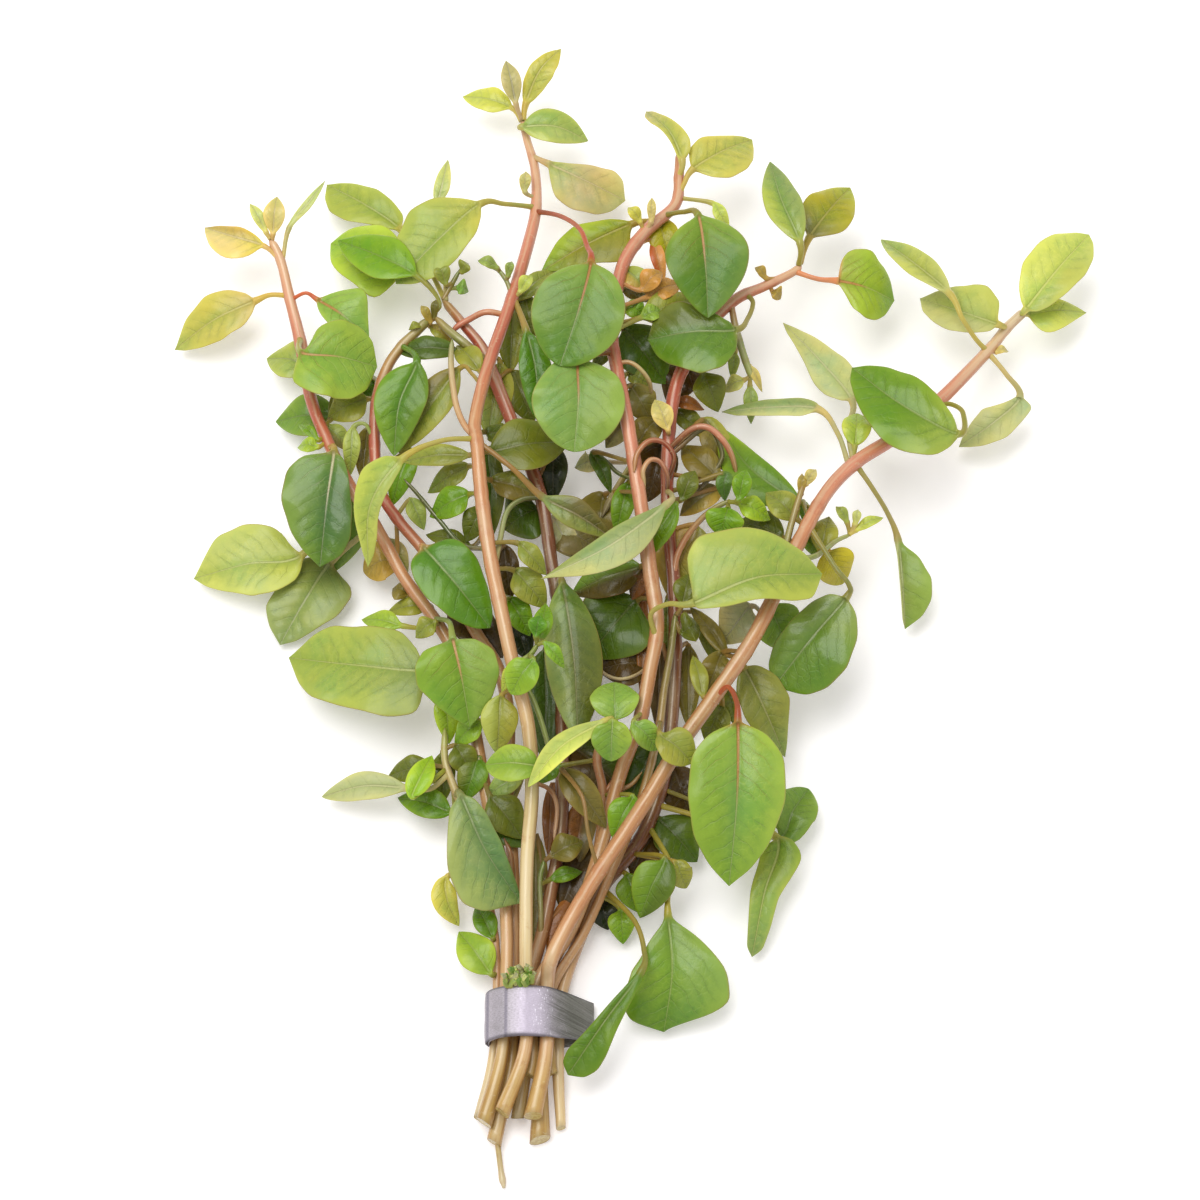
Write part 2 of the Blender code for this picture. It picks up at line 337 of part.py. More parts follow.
# Leaves that are one solid with the stem or shoot they grow from
SMALL_LEAVES = [
    leaf("tip_left", "left_outer", (279, 258), (264, 246, 13), (205, 231, 10), 32, tint=PINKISH, small=True),
    leaf("tip_left_up", "left_outer", (272, 242), (273, 234, 14), (277, 197, 16), 22, tint=OLIVE, small=True),
    leaf("tip_left_back", "left_outer", (271, 240), (266, 232, 14), (250, 204, 15), 12, tint=OLIVE, small=True),
    leaf("tip_left_slim", "left_outer", (282, 262), (289, 228, 13), (325, 181, 15), 9, tint=GREY, small=True),
    leaf("left_right_green", "left_outer", (294, 297), (308, 297, 12), (362, 318, 11), 46, tint=GREEN, small=True),
    leaf("left_back_grey", "left_outer", (302, 350), (312, 366, 8), (262, 357, 4), 46, tint=GREY, small=True),
    leaf("left_back_dark", "left_outer", (322, 428), (334, 412, 7), (274, 419, 3), 46, tint=DEEP, small=True),
    leaf("left_bud_a", "left_outer", (325, 438), (318, 440, 12), (299, 425, 10), 10, tint=LIME, small=True),
    leaf("left_bud_b", "left_outer", (327, 442), (318, 447, 12), (298, 448, 10), 16, tint=LIME, small=True),
    leaf("left_hanging_pale", "left_inner", (374, 440), (354, 427, 14), (350, 476, 10), 18, tint=PALE,
         via=((365, 424),), small=True),
    leaf("left_under_dark", "left_outer", (350, 486), (347, 494, 8), (330, 574, 5), 60, tint=DEEP, small=True),
    leaf("left_olive_round", "left_inner", (398, 520), (396, 556, 7), (364, 572, 4), 40, ROUND, OLIVE, small=True),
    leaf("left_brown_small", "left_outer", (414, 592), (409, 594, 10), (393, 589, 8), 26, tint=OLIVE, small=True),
    leaf("inner_dark", "left_inner", (404, 344), (455, 350, 17), (398, 352, 16), 24, ELLIPTIC, DEEP, small=True),
    leaf("inner_olive", "centre_left", (483, 383), (456, 368, 19), (419, 396, 18), 20, tint=OLIVE, small=True),
    leaf("upper_green", "left_inner", (424, 323), (417, 297, 16), (338, 241, 11), 46, tint=GREEN, small=True),
    leaf("upper_low", "left_inner", (427, 321), (400, 262, 9), (332, 240, 5), 56, ROUND, GREEN, small=True),
    leaf("upper_pink_slim", "hidden", (443, 300), (431, 214, 9), (445, 160, 9), 18, tint=PINKISH, small=True),
    leaf("crown_brown", "centre_left", (521, 121), (516, 104, 10), (506, 61, 12), 20, tint=OLIVE, small=True),
    leaf("crown_left", "centre_left", (522, 122), (512, 108, 9), (463, 97, 6), 26, tint=LIME, small=True),
    leaf("crown_bud", "centre_left", (530, 200), (525, 192, 12), (526, 172, 13), 12, tint=GREEN, small=True),
    leaf("shoot_left_a", "tip_shoot_left", (460, 270), (462, 272, 15), (468, 264, 16), 10, tint=DEEP, small=True),
    leaf("shoot_left_b", "tip_shoot_left", (452, 284), (446, 284, 15), (438, 264, 16), 12, tint=DEEP, small=True),
    leaf("shoot_left_c", "tip_shoot_left", (450, 288), (457, 288, 13), (468, 292, 12), 14, tint=DEEP, small=True),
    leaf("bud_a", "bud_shoot_centre", (500, 271), (497, 268, 17), (478, 261, 18), 12, tint=BRIGHT, small=True),
    leaf("bud_b", "bud_shoot_centre", (507, 280), (508, 276, 17), (512, 262, 18), 9, tint=BRIGHT, small=True),
    leaf("bud_c", "centre_left", (513, 295), (520, 292, 17), (532, 276, 18), 14, tint=BRIGHT, small=True),
    leaf("tip_right_low", "right_outer", (1020, 312), (1036, 316, 10), (1090, 313, 6), 34, tint=GREY, small=True),
    leaf("tip_right_bud", "right_outer", (990, 345), (996, 352, 12), (1008, 352, 11), 8, tint=GREEN, small=True),
    leaf("right_bud_round", "right_outer", (857, 462), (855, 446, 17), (857, 414, 15), 26, ROUND, BRIGHT, small=True),
    leaf("top_slim", "centre", (677, 196), (712, 203, 17), (729, 233, 15), 14, tint=OLIVE, small=True),
    leaf("top_bud_a", "centre", (644, 233), (640, 222, 20), (628, 208, 21), 13, tint=GREEN, small=True),
    leaf("top_bud_b", "centre", (646, 232), (651, 222, 20), (652, 198, 21), 9, tint=PINKISH, small=True),
    leaf("tuft_bronze_a", "centre", (618, 285), (640, 290, 20), (662, 272, 21), 22, tint=BRONZE, small=True),
    leaf("tuft_bronze_b", "centre", (613, 320), (640, 318, 19), (704, 302, 16), 36, tint=BRIGHT, small=True),
    leaf("right_end_bud", "right_inner", (778, 280), (766, 278, 19), (755, 268, 20), 10, tint=GREEN, small=True),
    leaf("right_low_bud", "right_inner", (770, 284), (778, 292, 17), (784, 300, 16), 15, ROUND, GREEN, small=True),
    leaf("hang_a", "hanging_shoot", (750, 375), (750, 386, 11), (751, 424, 6), 13, tint=GREY, small=True),
    leaf("hang_b", "hanging_shoot", (751, 378), (744, 380, 11), (724, 392, 8), 12, tint=PALE, small=True),
    leaf("hang_c", "hanging_shoot", (746, 362), (752, 366, 13), (768, 392, 9), 9, tint=OLIVE, small=True),
    leaf("hang_d", "hanging_shoot", (738, 340), (735, 352, 12), (732, 380, 9), 12, tint=BRIGHT, small=True),
    leaf("sprig_a", "bent_shoot_right", (848, 536), (856, 527, 16), (883, 516, 16), 11, tint=GREEN, small=True),
    leaf("sprig_b", "bent_shoot_right", (850, 535), (848, 521, 17), (838, 505, 18), 11, tint=DEEP, small=True),
    leaf("sprig_c", "bent_shoot_right", (851, 534), (855, 524, 17), (858, 510, 18), 9, tint=GREEN, small=True),
    leaf("sprig_d", "bent_shoot_right", (832, 544), (838, 548, 15), (840, 582, 9), 32, ROUND, OLIVE, small=True),
    leaf("sprig_e", "bent_shoot_right", (818, 554), (822, 550, 16), (836, 526, 14), 22, tint=OLIVE, small=True),
    leaf("twig_leaf", "twig_right", (805, 484), (807, 482, 22), (821, 466, 23), 12, tint=OLIVE, small=True),
    leaf("low_a", "low_shoot", (545, 860), (551, 856, 9), (583, 842, 9), 30, tint=DEEP, small=True),
    leaf("low_b", "low_shoot", (541, 884), (550, 880, 6), (582, 872, 5), 16, tint=GREEN, small=True),
    leaf("tuft_a", "tuft_shoot", (538, 643), (536, 636, 27), (540, 616, 28), 20, tint=BRIGHT, small=True),
    leaf("tuft_b", "tuft_shoot", (538, 643), (545, 643, 27), (564, 668, 25), 15, tint=BRIGHT, small=True),
    leaf("tuft_c", "tuft_shoot", (530, 656), (533, 660, 27), (511, 694, 24), 35, ROUND, BRIGHT, small=True),
    leaf("tuft_d", "tuft_shoot", (520, 665), (516, 664, 23), (502, 692, 20), 14, tint=PALE, small=True),
    leaf("curved_a", "curved_shoot", (728, 501), (728, 508, 20), (721, 536, 18), 40, ROUND, BRIGHT, small=True),
    leaf("curved_b", "curved_shoot", (730, 500), (738, 500, 22), (746, 470, 23), 20, tint=GREEN, small=True),
    leaf("curved_c", "curved_shoot", (729, 500), (750, 502, 19), (765, 512, 17), 16, tint=GREY, small=True),
    leaf("short_right_a", "short_right", (676, 614), (682, 605, 16), (690, 574, 15), 26, tint=GREEN, small=True),
    leaf("short_right_b", "short_right", (675, 622), (681, 632, 15), (700, 628, 14), 32, tint=DEEP, small=True),
    leaf("middle_bluish", "short_middle", (611, 722), (613, 718, 22), (616, 683, 19), 42, ROUND, BLUISH, small=True),
    leaf("middle_pair", "centre", (641, 716), (634, 722, 21), (657, 750, 18), 26, ROUND, GREEN, small=True),
    leaf("middle_olive", "short_right", (660, 722), (660, 734, 23), (692, 763, 22), 38, ROUND, OLIVE, small=True),
    leaf("middle_hanging", "short_middle", (603, 797), (629, 798, 13), (616, 839, 11), 32, tint=BRIGHT, small=True),
    leaf("low_right_bright", "right_inner", (630, 852), (664, 858, 12), (646, 909, 9), 34, tint=BRIGHT, small=True),
    leaf("low_right_back", "right_inner", (632, 850), (674, 862, 9), (690, 888, 6), 26, ROUND, BRIGHT, small=True),
    leaf("low_left_yellow", "short_left", (480, 868), (449, 872, 7), (457, 925, 3), 28, tint=YELLOW, small=True),
    leaf("low_left_bright", "short_left", (498, 975), (491, 974, 5), (459, 932, 3), 34, tint=LIME, small=True),
    leaf("low_left_lime", "short_left", (447, 770), (413, 797, 11), (432, 756, 9), 26, tint=LIME, small=True),
    leaf("low_left_dark", "short_left", (455, 792), (446, 808, 7), (398, 798, 4), 26, tint=DEEP, small=True),
    leaf("low_behind_bluish", "right_inner", (662, 786), (777, 833, 6), (811, 793, 4), 38, ROUND, BLUISH,
         via=((720, 812, 7),), small=True),
    # Leaves inside the bunch, partly hidden by those above
    leaf("in_olive_wide", "centre_left", (478, 450), (489, 452, 18), (569, 442, 14), 54, tint=OLIVE, small=True),
    leaf("in_grey_behind", "hidden", (498, 350), (500, 362, 9), (488, 438, 8), 38, tint=GREY, small=True),
    leaf("in_dark_a", "centre_left", (481, 478), (490, 480, 14), (541, 498, 11), 30, tint=DEEP, small=True),
    leaf("in_dark_b", "hidden", (543, 502), (537, 506, 8), (503, 522, 6), 38, tint=DEEP, small=True),
    leaf("in_brown", "centre", (639, 494), (606, 494, 9), (594, 546, 5), 54, tint=OLIVE, small=True),
    leaf("in_slim_a", "centre", (632, 462), (594, 452, 14), (611, 493, 12), 16, tint=DEEP, small=True),
    leaf("in_dark_d", "centre", (623, 395), (630, 386, 16), (652, 424, 13), 34, tint=DEEP, small=True),
    leaf("in_pale", "right_inner", (670, 437), (668, 430, 18), (655, 400, 18), 22, tint=PALE, small=True),
    leaf("in_bronze", "right_inner", (668, 472), (714, 478, 14), (682, 446, 12), 32, tint=BRONZE, small=True),
    leaf("in_bright_a", "right_inner", (668, 502), (681, 500, 16), (695, 471, 17), 22, tint=BRIGHT, small=True),
    leaf("in_dark_long", "right_outer", (817, 508), (804, 510, 15), (718, 413, 10), 50, tint=DEEP, small=True),
    leaf("in_olive_right", "right_outer", (808, 528), (798, 520, 18), (766, 493, 17), 30, tint=OLIVE, small=True),
    leaf("in_bluish_right", "right_outer", (798, 546), (784, 538, 14), (737, 522, 11), 36, tint=BLUISH, small=True),
    leaf("in_dark_e", "right_inner", (690, 352), (702, 372, 13), (721, 420, 10), 34, tint=DEEP, small=True),
    leaf("in_grey_right", "right_inner", (671, 530), (681, 540, 10), (668, 592, 7), 46, tint=GREY, small=True),
    leaf("in_dark_wide", "centre", (654, 602), (636, 600, 10), (588, 658, 7), 66, tint=DEEP, small=True),
    leaf("in_olive_a", "centre_left", (488, 545), (517, 543, 20), (546, 575, 17), 22, tint=OLIVE, small=True),
    leaf("in_olive_b", "centre_left", (492, 566), (513, 570, 16), (546, 608, 13), 34, tint=OLIVE, small=True),
    leaf("in_dark_g", "centre_left", (499, 598), (508, 598, 13), (530, 636, 10), 28, tint=DEEP, small=True),
    leaf("in_olive_left", "centre_left", (478, 466), (470, 466, 16), (428, 493, 10), 24, tint=OLIVE, small=True),
    leaf("in_lime_left", "centre_left", (482, 496), (470, 494, 17), (430, 517, 12), 32, tint=LIME, small=True),
    leaf("in_slim_left", "centre_left", (477, 446), (468, 450, 20), (408, 456, 16), 18, tint=GREEN, small=True),
    leaf("in_green_left", "centre_left", (484, 508), (478, 512, 15), (461, 541, 11), 26, tint=GREEN, small=True),
    leaf("in_below_a", "left_outer", (470, 705), (456, 704, 8), (438, 724, 5), 24, tint=PALE, small=True),
    leaf("in_below_b", "left_outer", (474, 722), (480, 722, 12), (455, 745, 9), 26, tint=GREEN, small=True),
    leaf("in_below_c", "centre_left", (519, 690), (502, 695, 18), (497, 746, 14), 32, tint=GREEN, small=True),
    leaf("in_round_left", "short_left", (445, 750), (455, 746, 9), (471, 773, 7), 30, ROUND, DEEP, small=True),
    leaf("in_grey_low", "left_outer", (482, 780), (490, 796, 11), (522, 839, 8), 40, tint=OLIVE, small=True),
    leaf("in_dark_low", "left_outer", (491, 818), (490, 822, 5), (531, 846, 4), 32, tint=DEEP, small=True),
    leaf("in_arched", "right_outer", (598, 873), (562, 770, 17), (606, 828, 13), 32, tint=OLIVE,
         via=((588, 832, 18), (582, 796, 19)), small=True),
    leaf("in_dark_h", "short_right", (652, 762), (648, 770, 13), (630, 802, 9), 32, tint=DEEP, small=True),
    leaf("in_dark_i", "right_inner", (652, 815), (660, 818, 6), (690, 850, 4), 34, tint=DEEP, small=True),
    leaf("in_olive_low", "right_outer", (718, 690), (722, 704, 15), (706, 743, 11), 32, tint=OLIVE, small=True),
    leaf("in_green_right", "right_outer", (774, 596), (768, 604, 15), (795, 643, 9), 46, tint=BRIGHT, small=True),
    leaf("in_bronze_slim", "right_outer", (744, 655), (728, 655, 15), (690, 607, 11), 18, tint=BRONZE, small=True),
    leaf("in_bright_b", "right_inner", (668, 512), (676, 504, 20), (641, 562, 16), 28, tint=BRIGHT, small=True),
    leaf("in_lime_a", "left_outer", (440, 616), (435, 622, 15), (416, 638, 13), 22, tint=LIME, small=True),
    leaf("in_dark_l", "left_inner", (376, 405), (384, 396, 11), (391, 438, 8), 22, tint=DEEP, small=True),
    leaf("in_dark_m", "left_inner", (376, 402), (368, 399, 10), (337, 404, 8), 24, tint=DEEP, small=True),
]


def from_photo(u, v, height):
    """The point over the table that covers a pixel, at a height in mm."""
    scale = MM_PER_PIXEL / VIEW_DISTANCE
    ray = SIGHT + np.array([(u - MIDDLE_PIXEL) * scale, 0.0, 0.0]) + UPWARD * (MIDDLE_PIXEL - v) * scale
    return EYE + ray * (height - EYE[2]) / ray[2]


def to_photo(points):
    """The pixels that cover these points."""
    ray = np.asarray(points) - EYE
    depth = (ray @ SIGHT) * MM_PER_PIXEL / VIEW_DISTANCE
    return np.stack([MIDDLE_PIXEL + ray[..., 0] / depth, MIDDLE_PIXEL - (ray @ UPWARD) / depth], axis=-1)


def unit(vector):
    return vector / max(np.linalg.norm(vector), 1e-9)


def smooth(points, per_span, before=None):
    """A smooth curve through the points, with per_span steps between two of them."""
    points = np.asarray(points, float)
    first = 2 * points[0] - points[1] if before is None else before
    points = np.vstack([first, points, 2 * points[-1] - points[-2]])
    curve = []
    for a, b, c, d in zip(points, points[1:], points[2:], points[3:]):
        for t in np.arange(per_span) / per_span:
            bend = (2 * a - 5 * b + 4 * c - d) * t * t + (3 * b - a - 3 * c + d) * t ** 3
            curve.append(0.5 * (2 * b + (c - a) * t + bend))
    return np.array(curve + [points[-2]])


def lengths_along(points):
    return np.concatenate([[0.0], np.cumsum(np.linalg.norm(np.diff(points, axis=0), axis=1))])


def radii_of(points, thick):
    """Half the thickness at each point: at the tip, below it, halfway, in the strip and at the cut end."""
    along = lengths_along(points)
    held = along[points[:, 1] < STRIP_START_Y]
    first, last = (held[0], held[1]) if len(held) > 2 else np.array(SHOOT_ENDS) * along[-1]
    tip, below, half, strip, cut = np.array(thick) / 2
    places = (0.0, BELOW_TIP * along[-1], 0.5 * min(along[-1], first * 1.2), first, last, along[-1])
    return np.interp(along, places, (tip, below, half, strip, strip, cut))


def settle(paths, radii, steps=4, rounds=60):
    """Moves crossing stems up or down, above the strip, until a gap is left between each two."""
    names = list(paths)
    weights, thickness = {}, {}
    for name in names:
        count = len(paths[name])
        place = np.linspace(0, count - 1, (count - 1) * steps + 1)
        low = np.minimum(place.astype(int), count - 2)
        share = np.zeros((len(place), count))
        share[np.arange(len(place)), low] = 1 - (place - low)
        share[np.arange(len(place)), low + 1] += place - low
        weights[name] = share
        thickness[name] = share @ radii[name]
    for _ in range(rounds):
        pushes = {name: np.zeros(len(paths[name])) for name in names}
        crossing = 0
        for i, one in enumerate(names):
            a = weights[one] @ paths[one]
            for other in names[i + 1:]:
                b = weights[other] @ paths[other]
                flat = np.hypot(a[:, None, 0] - b[None, :, 0], a[:, None, 1] - b[None, :, 1])
                need = thickness[one][:, None] + thickness[other][None, :] + GAP + STEM_MARGIN
                rise = a[:, None, 2] - b[None, :, 2]
                short = np.sqrt(np.maximum(need ** 2 - flat ** 2, 0.0)) - np.abs(rise)
                for k, m in zip(*np.nonzero(short > NEAR_ENOUGH)):
                    crossing += 1
                    move = PUSH_SHARE * short[k, m] * (1 if rise[k, m] >= 0 else -1)
                    for name, row, amount in ((one, k, move), (other, m, -move)):
                        new = weights[name][row] * amount
                        keep = np.abs(new) > np.abs(pushes[name])
                        pushes[name][keep] = new[keep]
        for name in names:
            paths[name][:, 2] += pushes[name] * (paths[name][:, 1] > STRIP_START_Y)
            paths[name][:, 2] = np.maximum(paths[name][:, 2], radii[name] + TABLE_CLEARANCE)
        if not crossing:
            break


def grow_stems():
    """The path, thickness and fine curve of each stem, then of the shoots that grow from them."""
    paths = {name: np.array([from_photo(*spot) for spot in STEMS[name].path]) for name in STEMS}
    radii = {name: radii_of(paths[name], STEMS[name].thick) for name in STEMS}
    settle({name: paths[name] for name in MAIN_STEMS}, radii)
    grown = {}
    for name in MAIN_STEMS + SHOOTS:
        if STEMS[name].parent:
            parent = grown[STEMS[name].parent]
            k = nearest(parent, paths[name][-1])
            paths[name][-1] = parent["curve"][k]
        curve = smooth(paths[name], 8)
        thin = np.interp(lengths_along(curve), lengths_along(curve)[::8], radii[name])
        grown[name] = {"path": paths[name], "radii": radii[name], "curve": curve, "thin": thin}
    return grown


def nearest(grown, point):
    return int(np.argmin(np.linalg.norm(grown["curve"] - point, axis=1)))


def place_on(grown, at, slide):
    """Where a stalk leaves its stem: the axis point, the stem's direction and its radius."""
    curve = grown["curve"]
    seen = to_photo(curve)
    k = int(np.argmin(np.hypot(seen[:, 0] - at[0], seen[:, 1] - at[1])))
    along = lengths_along(curve)
    k = int(np.argmin(np.abs(along - along[k] - slide)))
    k = min(max(k, 1), len(curve) - 2)
    return curve[k], unit(curve[k + 1] - curve[k - 1]), grown["thin"][k]


def leaf_line(spec, grown, lift, slide):
    """The line from the root of the stalk to the tip, and the step where the blade starts."""
    axis, direction, radius = place_on(grown[spec.stem], spec.at, slide)
    base = from_photo(spec.base[0], spec.base[1], spec.base[2] + lift)
    tip = from_photo(spec.tip[0], spec.tip[1], spec.tip[2] + lift)
    points = []
    for i, spot in enumerate(spec.via):
        share = (i + 1) / (len(spec.via) + 1)
        height = (spot[2] + lift * share) if len(spot) > 2 else axis[2] + (base[2] - axis[2]) * share + 1.0
        points.append(from_photo(spot[0], spot[1], height))
    first = points[0] if points else base
    out = first - axis
    out = unit(out - direction * (out @ direction))
    if spec.small:
        start, before = axis, axis - out
    else:
        start = axis + out * (radius + GAP + STALK_MARGIN)
        before = start - out * 0.5 * np.linalg.norm(first - start)
    middle = (base + tip) / 2
    sideways = unit(np.cross(UP, tip - base))
    pixel = np.linalg.norm(to_photo(middle + sideways) - to_photo(middle))
    middle = middle + sideways * spec.bow / pixel + UP * spec.arch
    line = smooth([start] + points + [base, middle, tip], LINE_STEPS, before)
    line[:, 2] = np.maximum(line[:, 2], LOWEST_MIDRIB)
    return line, LINE_STEPS * (len(points) + 1)


def blade_width(shape, t):
    """Half the width of a blade, as a share of its widest, from foot 0 to tip 1."""
    widest, foot, tip = shape
    if t < widest:
        return math.sin(math.pi / 2 * t / widest) ** foot
    return max(math.cos(math.pi / 2 * (t - widest) / (1 - widest)), 0.0) ** tip


# Solid leaves: the stations along the blade, and the ring of points round it
STATIONS = (0.13, 0.35, 0.6, 0.82, 1.0)
SMALL_STATIONS = (0.22, 0.6, 1.0)
TINY_STATIONS = (0.4, 1.0)
TINY_WIDTH = 31
RING = ((1, 0), (0, 1), (-1, 0), (0, -1))
STEM_SIDES = 5
SHOOT_SIDES = 4


def leaf_solid(spec, grown, lift=0.0, slide=0.0, extra=0.0):
    """The closed shape of a stalk and its blade as (points, faces), extra mm thicker all round."""
    stations = STATIONS
    if spec.small:
        stations = SMALL_STATIONS if spec.wide > TINY_WIDTH else TINY_STATIONS
    stalk = (SMALL_PETIOLE_RADIUS if spec.small else PETIOLE_RADIUS) + extra
    line, foot = leaf_line(spec, grown, lift, slide)
    places = [(k, 0.0) for k in range(0, foot + 1, LINE_STEPS)]
    places += [(foot + (len(line) - 1 - foot) * t, t) for t in stations]
    blade = line[-1] - line[foot]
    points = []
    for place, t in sorted(places):
        low = min(int(place), len(line) - 2)
        centre = line[low] + (line[low + 1] - line[low]) * (place - low)
        behind, ahead = line[max(low - 1, 0)], line[min(low + 2, len(line) - 1)]
        along = unit(ahead - behind)
        flat = np.array([along[0], along[1], 0.0])
        if np.linalg.norm(flat) < LEAST_FLAT:
            flat = flat + LEAST_FLAT * unit(np.array([blade[0], blade[1], 0.0]))
        side = unit(np.cross(UP, flat))
        normal = unit(np.cross(along, side))
        pixel = np.linalg.norm(to_photo(centre + side) - to_photo(centre))
        full = spec.wide * (blade_width(spec.shape, t) if t else 0.0) / pixel
        thick = LEAF_THICKNESS / 2 + extra if t else stalk
        if t == 1.0:
            centre[2] = max(centre[2], thick + TABLE_CLEARANCE)
            points.append(centre + along * extra)
            break
        for across, level in RING:
            share = spec.share if across > 0 else 1 - spec.share
            reach = across * (full * share + (stalk * MIDRIB_SHARE if t else stalk))
            bend = full * share * (spec.fold * abs(across) + spec.roll * across)
            spot = centre + side * reach + UP * bend
            spot[2] = max(spot[2], thick + TABLE_CLEARANCE)
            spot = spot + normal * level * thick * math.sqrt(1 - across ** 2)
            points.append(spot)
    faces = tube_faces(len(places) - 1, len(RING))
    last = faces.pop()
    faces += [(a, b, len(points) - 1) for a, b in zip(last, last[1:] + last[:1])]
    return np.array(points), faces


def tube_faces(rings, count):
    """Faces of a closed tube: the sides between its rings, and a cap on each end."""
    faces = [tuple(range(count))[::-1]]
    for r in range(rings - 1):
        for c in range(count):
            n = (c + 1) % count
            faces.append((r * count + c, r * count + n, (r + 1) * count + n, (r + 1) * count + c))
    faces.append(tuple((rings - 1) * count + c for c in range(count)))
    return faces


def stem_solid(grown, sides, extra=0.0):
    """The closed tube of a stem as (points, faces)."""
    path, radii = grown["path"], grown["radii"] + extra
    ahead = np.vstack([path[1:], 2 * path[-1] - path[-2]]) - np.vstack([2 * path[0] - path[1], path[:-1]])
    points = []
    for centre, along, radius in zip(path, ahead, radii):
        along = unit(along)
        side = unit(np.cross(UP, along))
        normal = np.cross(along, side)
        for k in range(sides):
            turn = 2 * math.pi * (k + 0.5) / sides
            spot = centre + radius * (math.cos(turn) * side + math.sin(turn) * normal)
            spot[2] = max(spot[2], TABLE_CLEARANCE)
            points.append(spot)
    return np.array(points), tube_faces(len(path), sides)


def volume_of(points, faces):
    total = 0.0
    for face in faces:
        for b, c in zip(face[1:], face[2:]):
            total += np.dot(points[face[0]], np.cross(points[b], points[c])) / 6
    return total


class Pile:
    """The shapes placed so far, to find one that would cross them."""

    def __init__(self):
        self.shapes = {}

    def add(self, name, shape):
        self.shapes[name] = shape

    def tree(self, leave_out=()):
        points, faces, start = [], [], 0
        for name, (spots, sides) in self.shapes.items():
            if name in leave_out:
                continue
            points += [tuple(spot) for spot in spots]
            faces += [tuple(start + k for k in side) for side in sides]
            start += len(spots)
        return BVHTree.FromPolygons(points, faces)


def crosses(tree, shape):
    points, faces = shape
    other = BVHTree.FromPolygons([tuple(spot) for spot in points], faces)
    return bool(tree.overlap(other))


def place_leaves(grown):
    """How far each leaf is lifted, and slid along its stem, to lie clear of the stems and the other leaves."""
    pile = Pile()
    for name in STEMS:
        pile.add(name, stem_solid(grown[name], SHOOT_SIDES if STEMS[name].parent else STEM_SIDES))
    pile.add("lead_strip", strip_solid())
    tries = sorted(((abs(lift) + SLIDE_COST * abs(slide), lift, slide) for lift in LIFTS for slide in SLIDES),
                   key=lambda option: (option[0], -option[1], option[2]))
    placed = {}
    for spec in LEAVES + SMALL_LEAVES:
        family = {spec.stem, STEMS[spec.stem].parent}
        if spec.small:
            family |= {other.name for other in SMALL_LEAVES if other.stem == spec.stem}
            family |= {name for name in SHOOTS if STEMS[name].parent == spec.stem}
        tree = pile.tree(family)
        own = pile.tree(set(pile.shapes) - {spec.stem, STEMS[spec.stem].parent})
        for cost, lift, slide in tries:
            if crosses(tree, leaf_solid(spec, grown, lift, slide, GAP)):
                continue
            if spec.small or not crosses(own, leaf_solid(spec, grown, lift, slide, OWN_STEM_CLEARANCE)):
                break
        placed[spec.name] = (lift, slide)
        pile.add(spec.name, leaf_solid(spec, grown, lift, slide))
    return placed


def strip_outline():
    """The lead strip's outer outline seen from its end: flat below, arched above, pinched at the right."""
    left = from_photo(STRIP_LEFT_U, STRIP_MIDDLE_V, STRIP_LEFT_HEIGHT)[0]
    right = from_photo(STRIP_RIGHT_U, STRIP_MIDDLE_V, STRIP_RIGHT_HEIGHT)[0]
    corners = [(right + x, z) for x, z in STRIP_LOW_RIGHT] + [(left + x, z) for x, z in STRIP_HIGH_LEFT]
    return [np.array(corner) for corner in corners]


def strip_solid():
    """The strip: its outline, and the same outline set in by the thickness, drawn out along the bunch."""
    outer = strip_outline()
    inner = []
    for before, here, after in zip(outer[-1:] + outer[:-1], outer, outer[1:] + outer[:1]):
        first, second = unit(here - before), unit(after - here)
        inward = unit(np.array([-first[1], first[0]]) + np.array([-second[1], second[0]]))
        lean = max(inward @ np.array([-first[1], first[0]]), SHARPEST_LEAN)
        inner.append(here + inward * STRIP_THICKNESS / lean)
    middle = from_photo(MIDDLE_PIXEL, STRIP_MIDDLE_V, 0)[1]
    count = len(outer)
    points = []
    for outline in (outer, inner):
        for y in (middle - STRIP_WIDTH / 2, middle + STRIP_WIDTH / 2):
            points += [np.array([x, y, z]) for x, z in outline]
    faces = []
    for k in range(count):
        n = (k + 1) % count
        faces.append((k, n, n + count, k + count))
        faces.append((k + 2 * count, k + 3 * count, n + 3 * count, n + 2 * count))
        faces.append((k, k + 2 * count, n + 2 * count, n))
        faces.append((k + count, n + count, n + 3 * count, k + 3 * count))
    return np.array(points), faces


def make_object(name, shape, shift, hidden=False):
    """A mesh object from a shape in mm, with its faces turned outward."""
    points, faces = shape
    if volume_of(points, faces) < 0:
        faces = [face[::-1] for face in faces]
    mesh = bpy.data.meshes.new(name)
    mesh.from_pydata([tuple((spot + shift) * METRES_PER_MM) for spot in points], [], faces)
    shaped = bmesh.new()
    shaped.from_mesh(mesh)
    bmesh.ops.triangulate(shaped, faces=shaped.faces[:])
    shaped.to_mesh(mesh)
    shaped.free()
    made = bpy.data.objects.new(name, mesh)
    made.hide_render = hidden
    bpy.context.scene.collection.objects.link(made)
    return made


def paint(made, name, colour, roughness, metallic=0.0):
    material = bpy.data.materials.new(name)
    material.use_nodes = True
    shader = material.node_tree.nodes["Principled BSDF"]
    shader.inputs["Base Color"].default_value = (*colour, 1.0)
    shader.inputs["Roughness"].default_value = roughness
    shader.inputs["Metallic"].default_value = metallic
    made.data.materials.append(material)


def fuse(made, helper):
    joint = made.modifiers.new(helper.name, "BOOLEAN")
    joint.operation = "UNION"
    joint.solver = "EXACT"
    joint.object = helper


